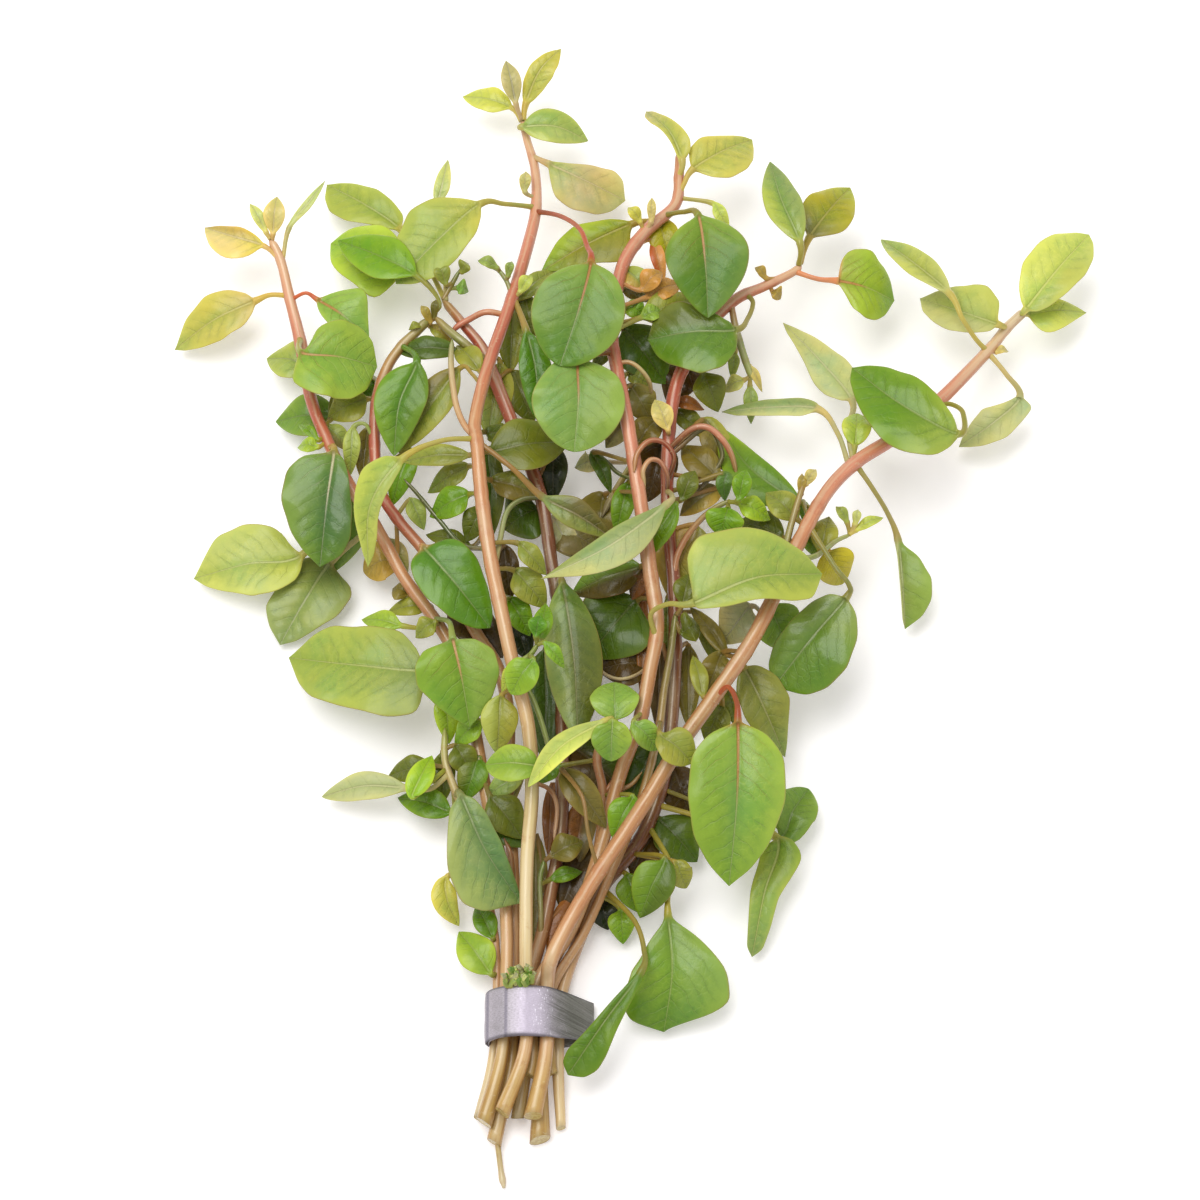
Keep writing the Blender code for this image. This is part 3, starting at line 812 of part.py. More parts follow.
def build():
    for old in list(bpy.data.objects):
        bpy.data.objects.remove(old)
    grown = grow_stems()
    placed = place_leaves(grown)
    shapes = {"lead_strip": strip_solid()}
    for name in STEMS:
        shapes[name] = stem_solid(grown[name], SHOOT_SIDES if STEMS[name].parent else STEM_SIDES)
    for spec in LEAVES + SMALL_LEAVES:
        shapes[spec.name] = leaf_solid(spec, grown, *placed[spec.name])
    every = np.vstack([points for points, _ in shapes.values()])
    low, high = every.min(axis=0), every.max(axis=0)
    shift = -np.array([(low[0] + high[0]) / 2, (low[1] + high[1]) / 2, low[2]])
    paint(make_object("lead_strip", shapes["lead_strip"], shift), "lead", LEAD, LEAD_ROUGHNESS, 1.0)
    for name in MAIN_STEMS:
        made = make_object("stem_" + name, shapes[name], shift)
        paint(made, "stem_" + name, TAN if name.startswith("short") else SALMON, STEM_ROUGHNESS)
        shoots = [shoot for shoot in SHOOTS if STEMS[shoot].parent == name]
        leaflets = [spec.name for spec in SMALL_LEAVES if spec.stem in [name] + shoots]
        for part in shoots + leaflets:
            fuse(made, make_object(part, shapes[part], shift, hidden=True))
    for spec in LEAVES:
        paint(make_object(spec.name, shapes[spec.name], shift), spec.name, spec.tint, LEAF_ROUGHNESS)


build()
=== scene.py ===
# %% [markdown]
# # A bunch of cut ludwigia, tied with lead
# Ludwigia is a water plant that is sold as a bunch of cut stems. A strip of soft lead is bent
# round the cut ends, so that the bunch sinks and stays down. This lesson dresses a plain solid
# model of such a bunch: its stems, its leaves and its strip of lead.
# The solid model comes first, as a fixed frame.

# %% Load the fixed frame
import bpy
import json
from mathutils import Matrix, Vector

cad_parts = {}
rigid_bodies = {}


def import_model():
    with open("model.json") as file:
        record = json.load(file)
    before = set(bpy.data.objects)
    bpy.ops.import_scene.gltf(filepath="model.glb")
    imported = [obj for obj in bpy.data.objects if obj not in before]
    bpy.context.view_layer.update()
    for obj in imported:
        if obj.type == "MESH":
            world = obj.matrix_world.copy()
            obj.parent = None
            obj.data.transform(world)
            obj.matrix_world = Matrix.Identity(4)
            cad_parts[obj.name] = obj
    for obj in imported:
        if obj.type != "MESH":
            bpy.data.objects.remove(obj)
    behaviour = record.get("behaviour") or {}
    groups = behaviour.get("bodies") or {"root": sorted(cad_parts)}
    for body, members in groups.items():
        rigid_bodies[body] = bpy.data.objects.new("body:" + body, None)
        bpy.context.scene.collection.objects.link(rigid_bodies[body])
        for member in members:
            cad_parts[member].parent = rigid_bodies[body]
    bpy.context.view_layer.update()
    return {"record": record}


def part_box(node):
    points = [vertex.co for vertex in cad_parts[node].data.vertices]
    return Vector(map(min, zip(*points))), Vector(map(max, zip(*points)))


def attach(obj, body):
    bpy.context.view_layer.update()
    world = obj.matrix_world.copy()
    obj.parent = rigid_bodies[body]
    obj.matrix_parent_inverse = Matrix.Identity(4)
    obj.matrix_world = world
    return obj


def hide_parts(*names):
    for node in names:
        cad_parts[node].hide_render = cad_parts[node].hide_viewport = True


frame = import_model()

# %% The tools of the lesson
import json
import math
from typing import NamedTuple

import bpy
import numpy as np

METRES_PER_MM = 0.001
SLOT_OF = {part["node"]: part["material_slot"] for part in frame["record"]["subparts"]}
print("slots", sorted(set(SLOT_OF.values())))

# %% [markdown]
# ## Where things lie
# The bunch is laid out by the pixels that each stem and leaf covers in a picture of 1200 by 1200,
# and by their height over the table. A pixel is a straight line from the eye; where the line meets
# the height, there the point is. Working this way keeps every leaf where the eye expects it,
# while the height decides what lies over what.

# %% From a pixel and a height to a point
MM_PER_PIXEL = 0.2
MIDDLE_PIXEL = 600.0
PICTURE_SIZE = 1200.0
VIEW_ELEVATION = math.radians(68.0)
VIEW_DISTANCE = 700.0
SIGHT = np.array([0.0, math.cos(VIEW_ELEVATION), -math.sin(VIEW_ELEVATION)])
UPWARD = np.array([0.0, math.sin(VIEW_ELEVATION), math.cos(VIEW_ELEVATION)])
EYE = -VIEW_DISTANCE * SIGHT
UP = np.array([0.0, 0.0, 1.0])


def from_photo(u, v, height):
    """The point over the table that covers a pixel, at a height in mm."""
    scale = MM_PER_PIXEL / VIEW_DISTANCE
    ray = SIGHT + np.array([(u - MIDDLE_PIXEL) * scale, 0.0, 0.0]) + UPWARD * (MIDDLE_PIXEL - v) * scale
    return EYE + ray * (height - EYE[2]) / ray[2]


def to_photo(points):
    """The pixels that cover these points."""
    ray = np.asarray(points) - EYE
    depth = (ray @ SIGHT) * MM_PER_PIXEL / VIEW_DISTANCE
    return np.stack([MIDDLE_PIXEL + ray[..., 0] / depth, MIDDLE_PIXEL - (ray @ UPWARD) / depth], axis=-1)


print("the middle pixel lies at", from_photo(MIDDLE_PIXEL, MIDDLE_PIXEL, 0.0).round(3))

# %% Small sums used all through
SHORTEST = 1e-9


def unit(vectors):
    """The same directions, one long."""
    return vectors / np.maximum(np.linalg.norm(vectors, axis=-1, keepdims=True), SHORTEST)


def soft_step(values, low, high):
    """0 below low, 1 above high, and a smooth rise between."""
    share = np.clip((values - low) / (high - low), 0.0, 1.0)
    return share * share * (3 - 2 * share)


def notes_of(shape, *values):
    """Three numbers for each point of a grid of rings, as rows."""
    return np.stack([np.broadcast_to(value, shape) for value in values], axis=-1).reshape(-1, 3)


print("halfway up a soft step:", soft_step(0.5, 0, 1))

# %% [markdown]
# ## The lead strip gives the shift
# The frame has its own origin. The strip is the one piece whose outline is known in both systems,
# so the distance between the two is read from its box, once, and used for everything else.

# %% Outline of the strip, and the shift to the frame
STRIP_WIDTH = 9.6
STRIP_LEFT_U, STRIP_RIGHT_U, STRIP_MIDDLE_V = 484.0, 596.0, 1033.0
STRIP_LEFT_HEIGHT, STRIP_RIGHT_HEIGHT = 5.0, 2.0
STRIP_LOW_RIGHT = ((-2.6, 0.0), (-0.7, 0.6), (0.0, 1.6), (-0.9, 3.1), (-4.6, 6.9), (-8.6, 10.3),
                   (-12.4, 11.3))
STRIP_HIGH_LEFT = ((6.2, 11.4), (3.0, 10.0), (0.8, 7.4), (0.0, 4.6), (0.6, 2.0), (2.6, 0.0))
strip_left = from_photo(STRIP_LEFT_U, STRIP_MIDDLE_V, STRIP_LEFT_HEIGHT)[0]
strip_right = from_photo(STRIP_RIGHT_U, STRIP_MIDDLE_V, STRIP_RIGHT_HEIGHT)[0]
STRIP_OUTLINE = np.array(
    [(strip_right + x, z) for x, z in STRIP_LOW_RIGHT] + [(strip_left + x, z) for x, z in STRIP_HIGH_LEFT]
)
strip_y = from_photo(MIDDLE_PIXEL, STRIP_MIDDLE_V, 0.0)[1]
low_corner = np.array(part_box("lead_strip")[0]) / METRES_PER_MM
strip_low = (STRIP_OUTLINE[:, 0].min(), strip_y - STRIP_WIDTH / 2)
SHIFT = np.array([low_corner[0] - strip_low[0], low_corner[1] - strip_low[1], 0.0])
print("shift to the frame, mm", SHIFT.round(3))

# %% [markdown]
# ## Colours
# A leaf has no single colour, but a handful of named ones covers the whole plant: blue-green and
# fresh green for grown leaves, lime for young ones, straw for pale undersides, copper for the
# newest tips, rose to tan for stems, and dark ones for what lies deep in the bunch. Two of these,
# the darkest brown and the near black, are painted shade that darkens the leaves in the deepest
# holes. They are written as a painter would mix them, 0 to 255, and turned into the linear light
# that the shaders count in.

# %% From a painter's colour to linear light
STRONGEST = 255.0
LIGHT_ON_TABLE = 1.27
GLOSS_ADDS = 0.018
BLACKEST = 0.004


def mixed(red, green, blue):
    """A colour as a screen shows it, turned into linear light by the screen's own curve."""
    screen = np.array([red, green, blue]) / STRONGEST
    return np.where(screen <= 0.04045, screen / 12.92, ((screen + 0.055) / 1.055) ** 2.4)


def skin(red, green, blue):
    """The colour below a wet skin: less the room's white that its gloss adds, and the strong light."""
    return np.maximum(mixed(red, green, blue) - GLOSS_ADDS, BLACKEST) / LIGHT_ON_TABLE


print("white in linear light", mixed(255, 255, 255))

# %% Palette
MIXES = {
    "forest": (78, 100, 36), "mossy": (104, 112, 50), "fern": (102, 136, 44), "ivy": (114, 146, 70),
    "grass": (128, 164, 58), "fresh": (138, 170, 84), "apple": (152, 180, 72), "sage": (152, 168, 102),
    "khaki": (142, 148, 74), "lime": (174, 188, 90), "citrus": (190, 200, 112),
    "straw": (200, 204, 146), "butter": (202, 196, 100), "peach": (212, 194, 140),
    "copper": (178, 152, 88), "vivid": (92, 138, 26), "leafy": (114, 152, 40), "spring": (160, 190, 60),
    "meadow": (120, 156, 62), "dusk": (88, 120, 64), "mustard": (168, 162, 50), "glow": (220, 228, 116),
    # The darkest brown and the near black below are painted shade, for leaves deep in the bunch.
    "mist": (176, 172, 146), "moss_grey": (112, 142, 84), "umber": (116, 106, 58), "peat": (84, 66, 36),
    "night": (50, 56, 28), "taupe": (128, 118, 86), "blush": (238, 196, 150), "salmon": (228, 152, 118),
    "rose": (208, 112, 84), "brick": (180, 90, 62), "amber": (216, 154, 104), "honey": (200, 150, 94),
    "wheat": (206, 188, 122), "bark": (140, 90, 56), "cream": (228, 212, 172), "ochre": (214, 176, 106),
    "dull_ochre": (200, 166, 94), "olive_cut": (184, 152, 84), "tan": (228, 184, 132),
    "pale_tan": (242, 218, 162),
}
PALETTE = {name: skin(*parts) for name, parts in MIXES.items()}
AMBER, BRICK, CITRUS, CREAM = (PALETTE[name] for name in ("amber", "brick", "citrus", "cream"))
OLIVE_CUT, STRAW, WHEAT = (PALETTE[name] for name in ("olive_cut", "straw", "wheat"))
print(len(PALETTE), "colours, fresh green in linear light", PALETTE["fresh"].round(3))

# %% [markdown]
# ## The stems
# Ten cut stems lie in the bunch. Each is a path of pixels with heights, from the growing tip to
# the cut end, with its thickness in mm at the tip, below it, halfway, in the strip and at the
# cut, and with its colours at shares of its length. A path is easier to correct than a drawn
# tube: one number moves one bend.

# %% Where the cut stems run
class Stem(NamedTuple):
    path: list
    thick: tuple
    skin: list
    parent: str


STEMS = {}


def numbers(text):
    return tuple(float(word) for word in text.split())


def stem(name, path, thick, skin, parent=None):
    """Notes a stem: its points u v height, its five thicknesses, its colours, and where it grows."""
    stops = [part.split() for part in skin.split(",")]
    skin = [(float(share), PALETTE[colour]) for share, colour in stops]
    STEMS[name] = Stem([numbers(spot) for spot in path.split(",")], numbers(thick), skin, parent)


stem("left_outer",
     "270 238 13, 281 262 12, 290 300 11, 300 340 10.5, 311 399 10.5, 328 442 11, 352 490 12, "
     "378 530 12, 405 579 11.5, 435 620 11, 456 657 10, 470 705 9, 481 765 8, 491 820 7, 502 868 6.5, "
     "507 930 6, 506 990 5.7, 502 1055 5.7, 484 1123 4.7",
     "1.7 2.5 2.4 2.5 3.3",
     "0 blush, 0.1 salmon, 0.22 rose, 0.35 amber, 0.6 honey, 0.82 tan, 0.93 ochre, 1 dull_ochre")
stem("left_inner",
     "430 318 15, 415 333 15, 400 348 14.5, 386 370 14, 376 405 14, 375 456 13, 381 492 12, 398 520 11, "
     "425 552 9.5, 452 592 8.5, 477 634 8, 498 668 7.5, 508 710 7, 509 760 6, 511 830 5, 514 905 4, "
     "513 996 2.7, 511 1061 2.7, 494 1143 2.2",
     "1.9 2.2 2.5 2.4 3",
     "0 khaki, 0.08 honey, 0.13 brick, 0.26 rose, 0.34 honey, 0.65 honey, 0.82 tan, 0.9 ochre, 1 ochre")
stem("centre_left",
     "522 120 9, 527 140 9.5, 535 170 10, 536 208 11, 528 245 13, 512 298 16, 487 370 21, 475 420 24, "
     "477 443 25, 482 500 25, 490 556 24.5, 500 605 23, 513 665 21, 528 725 19, 532 790 16, "
     "527 860 13.5, 526 930 11, 526 985 8.4, 525 1050 8.4, 502 1113 7.2",
     "1.4 2.4 2.75 2.6 3.1",
     "0 blush, 0.12 salmon, 0.28 rose, 0.36 amber, 0.5 amber, 0.62 tan, 0.7 wheat, 0.78 pale_tan, "
     "0.87 pale_tan, 0.91 ochre, 0.94 tan, 0.97 ochre, 1 ochre")
stem("hidden",
     "443 300 13, 463 324 13.5, 482 348 13, 495 380 12, 515 430 11, 541 497 10, 552 567 9, 560 620 8, "
     "562 700 7, 562 780 6, 561 833 5.5, 553 880 5, 543 930 4.2, 527 996 2.7, 526 1061 2.7, 518 1118 2.3",
     "1.6 2.7 2.7 2.4 2.7",
     "0 copper, 0.05 brick, 0.14 rose, 0.3 bark, 0.72 bark, 0.86 tan, 0.95 ochre, 1 copper")
stem("centre",
     "680 150 17, 679 175 17, 675 205 17.5, 645 232 18.5, 622 268 20, 612 330 22, 618 375 23, "
     "628 425 23, 640 500 22, 650 570 20.5, 657 625 19, 650 670 17.5, 640 720 16, 620 775 13.5, "
     "603 840 11, 587 890 9.8, 567 935 8, 534 990 5.5, 533 1055 5.4, 530 1076 5.3",
     "1.9 2.6 2.85 2.4 2.5",
     "0 amber, 0.1 salmon, 0.25 rose, 0.38 salmon, 0.5 amber, 0.75 honey, 0.88 tan, 1 dull_ochre")
stem("right_inner",
     "800 262 17, 795 271 17, 765 286 18, 735 300 18, 703 331 17, 682 370 16, 673 400 15.5, "
     "668 450 14.5, 668 520 13, 675 600 11, 673 700 9, 663 780 7.5, 640 840 6.5, 602 888 5.5, "
     "580 935 4, 561 996 2.8, 558 1061 2.8, 561 1128 1.8",
     "1.5 2.6 2.7 2.5 1.9",
     "0 blush, 0.06 salmon, 0.18 rose, 0.33 brick, 0.5 bark, 0.72 bark, 0.84 tan, 1 pale_tan")
stem("right_outer",
     "1027 309 12, 1006 329 12, 987 352 12.5, 938 402 15, 895 437 17, 855 463 19, 825 495 20.5, "
     "795 550 22, 755 635 22, 715 695 21, 680 745 19.5, 640 810 17.5, 600 870 15, 570 920 12, "
     "552 960 9.6, 547 986 7.4, 546 1051 7.4, 533 1116 6.6",
     "1.8 2.7 3 2.8 3.5",
     "0 cream, 0.06 blush, 0.12 salmon, 0.28 salmon, 0.4 amber, 0.6 honey, 0.78 amber, 0.88 tan, "
     "0.93 tan, 0.97 ochre, 1 ochre")
stem("short_right",
     "676 612 15, 671 650 14, 664 690 13, 659 728 12.5, 648 775 11.5, 632 825 10, 610 875 8.5, "
     "585 930 6.8, 551 992 4.6, 551 1057 4.6, 553 1074 4.5",
     "1.2 1.5 1.7 1.9 2",
     "0 khaki, 0.2 copper, 0.6 honey, 0.82 tan, 1 dull_ochre")
stem("short_middle",
     "613 716 19, 603 738 17, 597 760 14, 603 795 10.5, 598 850 8, 584 895 6, 562 945 4, 541 996 2.6, "
     "541 1061 2.6, 540 1140 2.1",
     "1.3 1.7 2 2.2 4",
     "0 apple, 0.1 amber, 0.4 honey, 0.7 tan, 0.88 ochre, 1 dull_ochre")
stem("short_left",
     "445 728 10, 445 760 9.5, 453 785 9, 470 830 7, 486 890 5, 495 940 3.8, 497 996 2.9, 492 1061 2.9, "
     "478 1118 2.2",
     "1.2 1.5 1.7 1.7 1.8",
     "0 lime, 0.12 wheat, 0.35 copper, 0.5 tan, 0.7 tan, 0.86 pale_tan, 1 cream")
print("highest point of a stem, mm", max(spot[2] for noted in STEMS.values() for spot in noted.path))

# %% [markdown]
# ## Side shoots and threads
# Short shoots carry the youngest leaves, and thin threads are bare stalks and roots. Each ends on
# its parent stem, where its last point is moved to the nearest point of that stem's middle.

# %% Where the shoots and threads run
stem("root",
     "504 1188 0.95, 501 1171 0.9, 496 1138 2.1",
     "1.7 1.5 1.2 1.1 1.1", "0 cream, 0.7 wheat, 1 amber", "left_inner")
stem("tip_shoot_left",
     "461 268 15, 452 284 14, 444 299 13",
     "0.8 0.9 1 1 1", "0 fern, 1 copper", "hidden")
stem("bud_shoot_centre",
     "486 266 16, 498 270 16, 507 282 16, 512 297 16",
     "0.7 0.8 0.9 1 1", "0 apple, 0.6 sage, 1 copper", "centre_left")
stem("bent_shoot_right",
     "852 534 15, 836 541 17, 815 556 20, 795 560 21.5",
     "0.8 0.9 1 1.1 1.2", "0 citrus, 0.5 sage, 1 lime", "right_outer")
stem("twig_right",
     "804 482 22, 796 508 22, 788 537 21, 776 590 22",
     "1 1.3 1.4 1.4 1.4", "0 copper, 1 sage", "right_outer")
stem("low_shoot",
     "545 858 8, 540 880 7.5, 541 915 6.5, 545 935 4.5",
     "0.8 0.9 1 1.1 1.2", "0 grass, 0.4 sage, 1 copper", "hidden")
stem("hanging_shoot",
     "752 380 12, 742 350 15, 735 325 17, 730 303 18",
     "1.3 1.5 1.5 1.4 1.2", "0 citrus, 0.5 sage, 1 amber", "right_inner")
stem("tuft_shoot",
     "540 640 26, 530 655 24, 516 668 21",
     "0.8 1 1 1.1 1.2", "0 grass, 1 lime", "centre_left")
stem("curved_shoot",
     "730 500 21, 708 513 18, 688 535 15, 676 560 13, 673 585 11.5",
     "1 1.1 1.2 1.3 1.3", "0 sage, 0.5 amber, 1 salmon", "right_inner")
stem("thread_left",
     "452 340 18, 451 362 20, 453 386 22, 457 408 23, 465 426 24, 476 438 25",
     "1 1.2 1.3 1.3 1.3", "0 sage, 0.3 peach, 1 amber", "centre_left")
stem("thread_across",
     "450 334 14, 458 326 15, 470 319 16, 486 312 18, 503 307 18",
     "1.1 1.2 1.3 1.3 1.3", "0 rose, 0.5 salmon, 1 amber", "centre_left")
stem("outer_coil",
     "634 472 24, 637 454 25, 649 441 25, 664 443 23, 674 458 20, 672 480 16",
     "1 1.1 1.1 1 1", "0 honey, 0.5 brick, 1 bark", "right_inner")
stem("knot_stalk",
     "434 316 15, 448 330 15.5, 464 343 16, 484 356 17",
     "1.3 1.7 1.9 1.8 1.6", "0 copper, 0.5 khaki, 1 copper", "hidden")
stem("dark_stalk",
     "404 479 14, 420 497 13.5, 440 521 13, 462 545 14, 488 556 20",
     "0.7 0.8 1 1 1", "0 mossy, 0.5 forest, 1 umber", "centre_left")
stem("dark_line",
     "592 450 12, 606 461 13.5, 618 473 15, 634 486 18",
     "0.6 0.8 0.9 0.9 0.9", "0 forest, 1 mossy", "centre")
stem("tan_stalk",
     "602 517 9, 610 500 11, 620 483 14, 634 468 18",
     "1 1.3 1.4 1.3 1.3", "0 taupe, 0.6 wheat, 1 khaki", "centre")
stem("grey_stalk",
     "698 492 12, 706 482 13, 716 470 14, 722 452 16, 706 428 18, 676 452 16",
     "0.8 1 1 1 1", "0 taupe, 0.6 mossy, 1 bark", "right_inner")
stem("inner_coil",
     "645 488 22, 643 471 24, 650 460 24, 660 462 22, 667 475 19, 670 492 16",
     "0.9 1 1 0.9 0.9", "0 wheat, 0.5 salmon, 1 bark", "right_inner")
stem("high_arc",
     "737 476 14, 731 454 17, 720 437 19, 706 427 20, 690 430 19, 676 446 16",
     "0.9 1.1 1.3 1.2 1.2", "0 copper, 0.4 salmon, 1 bark", "right_inner")
stem("thread_centre",
     "652 397 15, 649 381 20, 639 368 22.5, 628 362 23, 618 362 23",
     "0.7 0.8 0.9 0.9 0.9", "0 peach, 0.6 wheat, 1 amber", "centre")
stem("arched_stalk",
     "540 498 12, 521 500 17, 507 512 20, 500 540 21, 500 578 21.5",
     "0.9 1 1.1 1.1 1.1", "0 mossy, 0.5 sage, 1 wheat", "centre_left")
stem("low_thread",
     "554 840 7, 557 808 8, 550 790 10, 538 780 13",
     "0.8 0.8 0.9 0.9 0.9", "0 blush, 1 amber", "centre_left")
stem("slim_green_stalk",
     "553 772 11, 548 745 14, 538 712 17, 528 690 18.5, 520 674 20",
     "0.9 1 1.1 1 1", "0 sage, 1 apple", "centre_left")
stem("thread_right",
     "917 392 14, 925 389 16, 934 394 17, 938 402 16",
     "0.7 0.8 0.9 0.9 0.9", "0 blush, 1 salmon", "right_outer")
stem("tendril",
     "595 662 6, 605 674 8, 620 679 9, 636 675 11, 648 668 13",
     "0.6 0.7 0.7 0.7 0.7", "0 cream, 0.5 peach, 1 honey", "centre")
stem("dry_thread",
     "504 838 9, 511 856 9, 517 878 8.5",
     "0.7 0.9 1 1 1", "0 bark, 1 honey", "left_inner")
stem("fan_low",
     "642 772 12, 629 786 11, 611 797 9",
     "0.7 0.8 0.9 0.9 0.9", "0 copper, 1 amber", "short_middle")
stem("fan_high",
     "621 752 13, 617 774 12, 606 797 10",
     "0.7 0.8 0.9 0.9 0.9", "0 salmon, 1 amber", "short_middle")
SHOOTS = [name for name in STEMS if STEMS[name].parent]
MAIN_STEMS = [name for name in STEMS if not STEMS[name].parent]
print(len(MAIN_STEMS), "stems,", len(SHOOTS), "side shoots and threads")

# %% [markdown]
# ## Curves that bend like stems
# A stem never has a corner. A curve that passes through every point of its path, with its bends
# shared out between them, gives that at once, and the same function serves stalks and midribs.

# %% Smooth curves and thicknesses
STRIP_START_Y = -81.5
BELOW_TIP = 0.12
SHOOT_ENDS = (0.86, 0.9)
BEFORE_STRIP = 1.2


def smooth(points, per_span, before=None):
    """A smooth curve through the points, with per_span steps between two of them."""
    points = np.asarray(points, float)
    first = 2 * points[0] - points[1] if before is None else before
    points = np.vstack([first, points, 2 * points[-1] - points[-2]])
    curve = []
    for a, b, c, d in zip(points, points[1:], points[2:], points[3:]):
        for t in np.arange(per_span) / per_span:
            bend = (2 * a - 5 * b + 4 * c - d) * t * t + (3 * b - a - 3 * c + d) * t ** 3
            curve.append(0.5 * (2 * b + (c - a) * t + bend))
    return np.array(curve + [points[-2]])


def lengths_along(points):
    return np.concatenate([[0.0], np.cumsum(np.linalg.norm(np.diff(points, axis=0), axis=1))])


def radii_of(points, thick):
    """Half the thickness at each point of a path."""
    along = lengths_along(points)
    held = along[points[:, 1] < STRIP_START_Y]
    first, last = (held[0], held[1]) if len(held) > 2 else np.array(SHOOT_ENDS) * along[-1]
    tip, below, half, strip, cut = np.array(thick) / 2
    halfway = 0.5 * min(along[-1], first * BEFORE_STRIP)
    places = (0.0, BELOW_TIP * along[-1], halfway, first, last, along[-1])
    return np.interp(along, places, (tip, below, half, strip, strip, cut))


print("steps of a curve through three points:", len(smooth(np.eye(3), 4)))

# %% [markdown]
# ## Stems that cross
# Real stems come to rest on each other. Here crossing stems are pushed apart in height, a little
# in each round, until a gap is left between each two of them. Within the strip they stay put.

# %% Let crossing stems come to rest on each other
GAP = 0.3
STEM_MARGIN = 0.15
PUSH_SHARE = 0.6
NEAR_ENOUGH = 0.02
TABLE_CLEARANCE = 0.03


def between_points(count, steps):
    """Weights that turn a value at each point of a path into values at steps between them."""
    place = np.linspace(0, count - 1, (count - 1) * steps + 1)
    low = np.minimum(place.astype(int), count - 2)
    weights = np.zeros((len(place), count))
    weights[np.arange(len(place)), low] = 1 - (place - low)
    weights[np.arange(len(place)), low + 1] += place - low
    return weights


def settle(paths, radii, steps=4, rounds=60):
    """Moves crossing stems up or down, above the strip, until a gap is left between each two."""
    names = list(paths)
    weights = {name: between_points(len(paths[name]), steps) for name in names}
    thickness = {name: weights[name] @ radii[name] for name in names}
    for _ in range(rounds):
        pushes = {name: np.zeros(len(paths[name])) for name in names}
        crossing = 0
        for i, one in enumerate(names):
            a = weights[one] @ paths[one]
            for other in names[i + 1:]:
                b = weights[other] @ paths[other]
                flat = np.hypot(a[:, None, 0] - b[None, :, 0], a[:, None, 1] - b[None, :, 1])
                need = thickness[one][:, None] + thickness[other][None, :] + GAP + STEM_MARGIN
                rise = a[:, None, 2] - b[None, :, 2]
                short = np.sqrt(np.maximum(need ** 2 - flat ** 2, 0.0)) - np.abs(rise)
                for k, m in zip(*np.nonzero(short > NEAR_ENOUGH)):
                    crossing += 1
                    move = PUSH_SHARE * short[k, m] * (1 if rise[k, m] >= 0 else -1)
                    for name, row, amount in ((one, k, move), (other, m, -move)):
                        new = weights[name][row] * amount
                        keep = np.abs(new) > np.abs(pushes[name])
                        pushes[name][keep] = new[keep]
        for name in names:
            paths[name][:, 2] += pushes[name] * (paths[name][:, 1] > STRIP_START_Y)
            paths[name][:, 2] = np.maximum(paths[name][:, 2], radii[name] + TABLE_CLEARANCE)
        if not crossing:
            break


print("halfway between two points:", between_points(2, 2)[1])

# %% Grow the stems, then the shoots from them
STEM_SPAN_STEPS = 8


def nearest(grown_stem, point):
    return int(np.argmin(np.linalg.norm(grown_stem["curve"] - point, axis=1)))


def grow_stems():
    """The curve, thickness and length along each stem and shoot, and a list for its joints."""
    paths = {name: np.array([from_photo(*spot) for spot in STEMS[name].path]) for name in STEMS}
    radii = {name: radii_of(paths[name], STEMS[name].thick) for name in STEMS}
    settle({name: paths[name] for name in MAIN_STEMS}, radii)
    grown = {}
    for name in MAIN_STEMS + SHOOTS:
        if STEMS[name].parent:
            parent = grown[STEMS[name].parent]
            paths[name][-1] = parent["curve"][nearest(parent, paths[name][-1])]
        curve = smooth(paths[name], STEM_SPAN_STEPS)
        along = lengths_along(curve)
        thin = np.interp(along, along[::STEM_SPAN_STEPS], radii[name])
        grown[name] = {"curve": curve, "thin": thin, "along": along, "joints": []}
    return grown


grown = grow_stems()
print("longest stem, mm", round(max(g["along"][-1] for g in grown.values()), 1))

# %% [markdown]
# ## The leaves
# Every leaf is one line of a table, under the stem that it grows from: the pixel of its stalk's
# root, the foot and the tip of its blade with their heights, its width in pixels, its colour and
# its outline. What is special follows by name, and a line set in goes on from the line above.
# The outline is two quarter waves, one from the foot to the widest place and one on to the tip,
# each raised to a power that makes it fuller or slimmer. This gives round, oval and lance-shaped
# leaves from three numbers. Leaves that are plain to see have their two sides drawn instead.

# %% Outlines and the words of the table
SHAPES = {
    "ovate": (0.43, 0.92, 0.80), "elliptic": (0.49, 0.88, 0.76), "round": (0.52, 0.62, 0.54),
    "lance": (0.42, 1.10, 1.15), "blunt": (0.68, 0.95, 0.42), "paddle": (0.78, 1.30, 0.60),
    "drooping": (0.26, 0.70, 0.60),
}


class Leaf(NamedTuple):
    """One leaf. Places and widths are in pixels, heights in mm; left is as seen from foot to tip."""
    name: str
    at: tuple               # where the stalk leaves the stem
    base: tuple             # the foot of the blade, with its height
    tip: tuple
    wide: float
    tint: np.ndarray
    shape: tuple            # where it is widest, and how slim it is below and above
    via: tuple = ()         # bends of the stalk
    bow: float = 0.0        # how far the middle of the midrib lies to the left
    share: float = 0.5      # how much of the width lies to the left of the midrib
    fold: float = 0.12      # how steeply both halves rise from the midrib
    roll: float = 0.0       # how steeply the whole blade is turned
    arch: float = 1.5       # how far its middle is raised
    lift: float = 0.0       # how far all of it is raised
    slide: float = 0.0      # how far along the stem its stalk is moved
    left: np.ndarray = None     # colours of one half, the other, its foot, end, midrib and stalk
    right: np.ndarray = None
    foot: np.ndarray = None
    end: np.ndarray = None
    rib: np.ndarray = None
    stalk: np.ndarray = None
    sides: tuple = ()       # a drawn outline: share of the length, width to the left and to the right


def meaning(word, *more):
    """A colour, a number, or points with a slash between them."""
    if more:
        return tuple(numbers(spot) for spot in " ".join((word, *more)).split("/"))
    return PALETTE[word] if word in PALETTE else float(word)


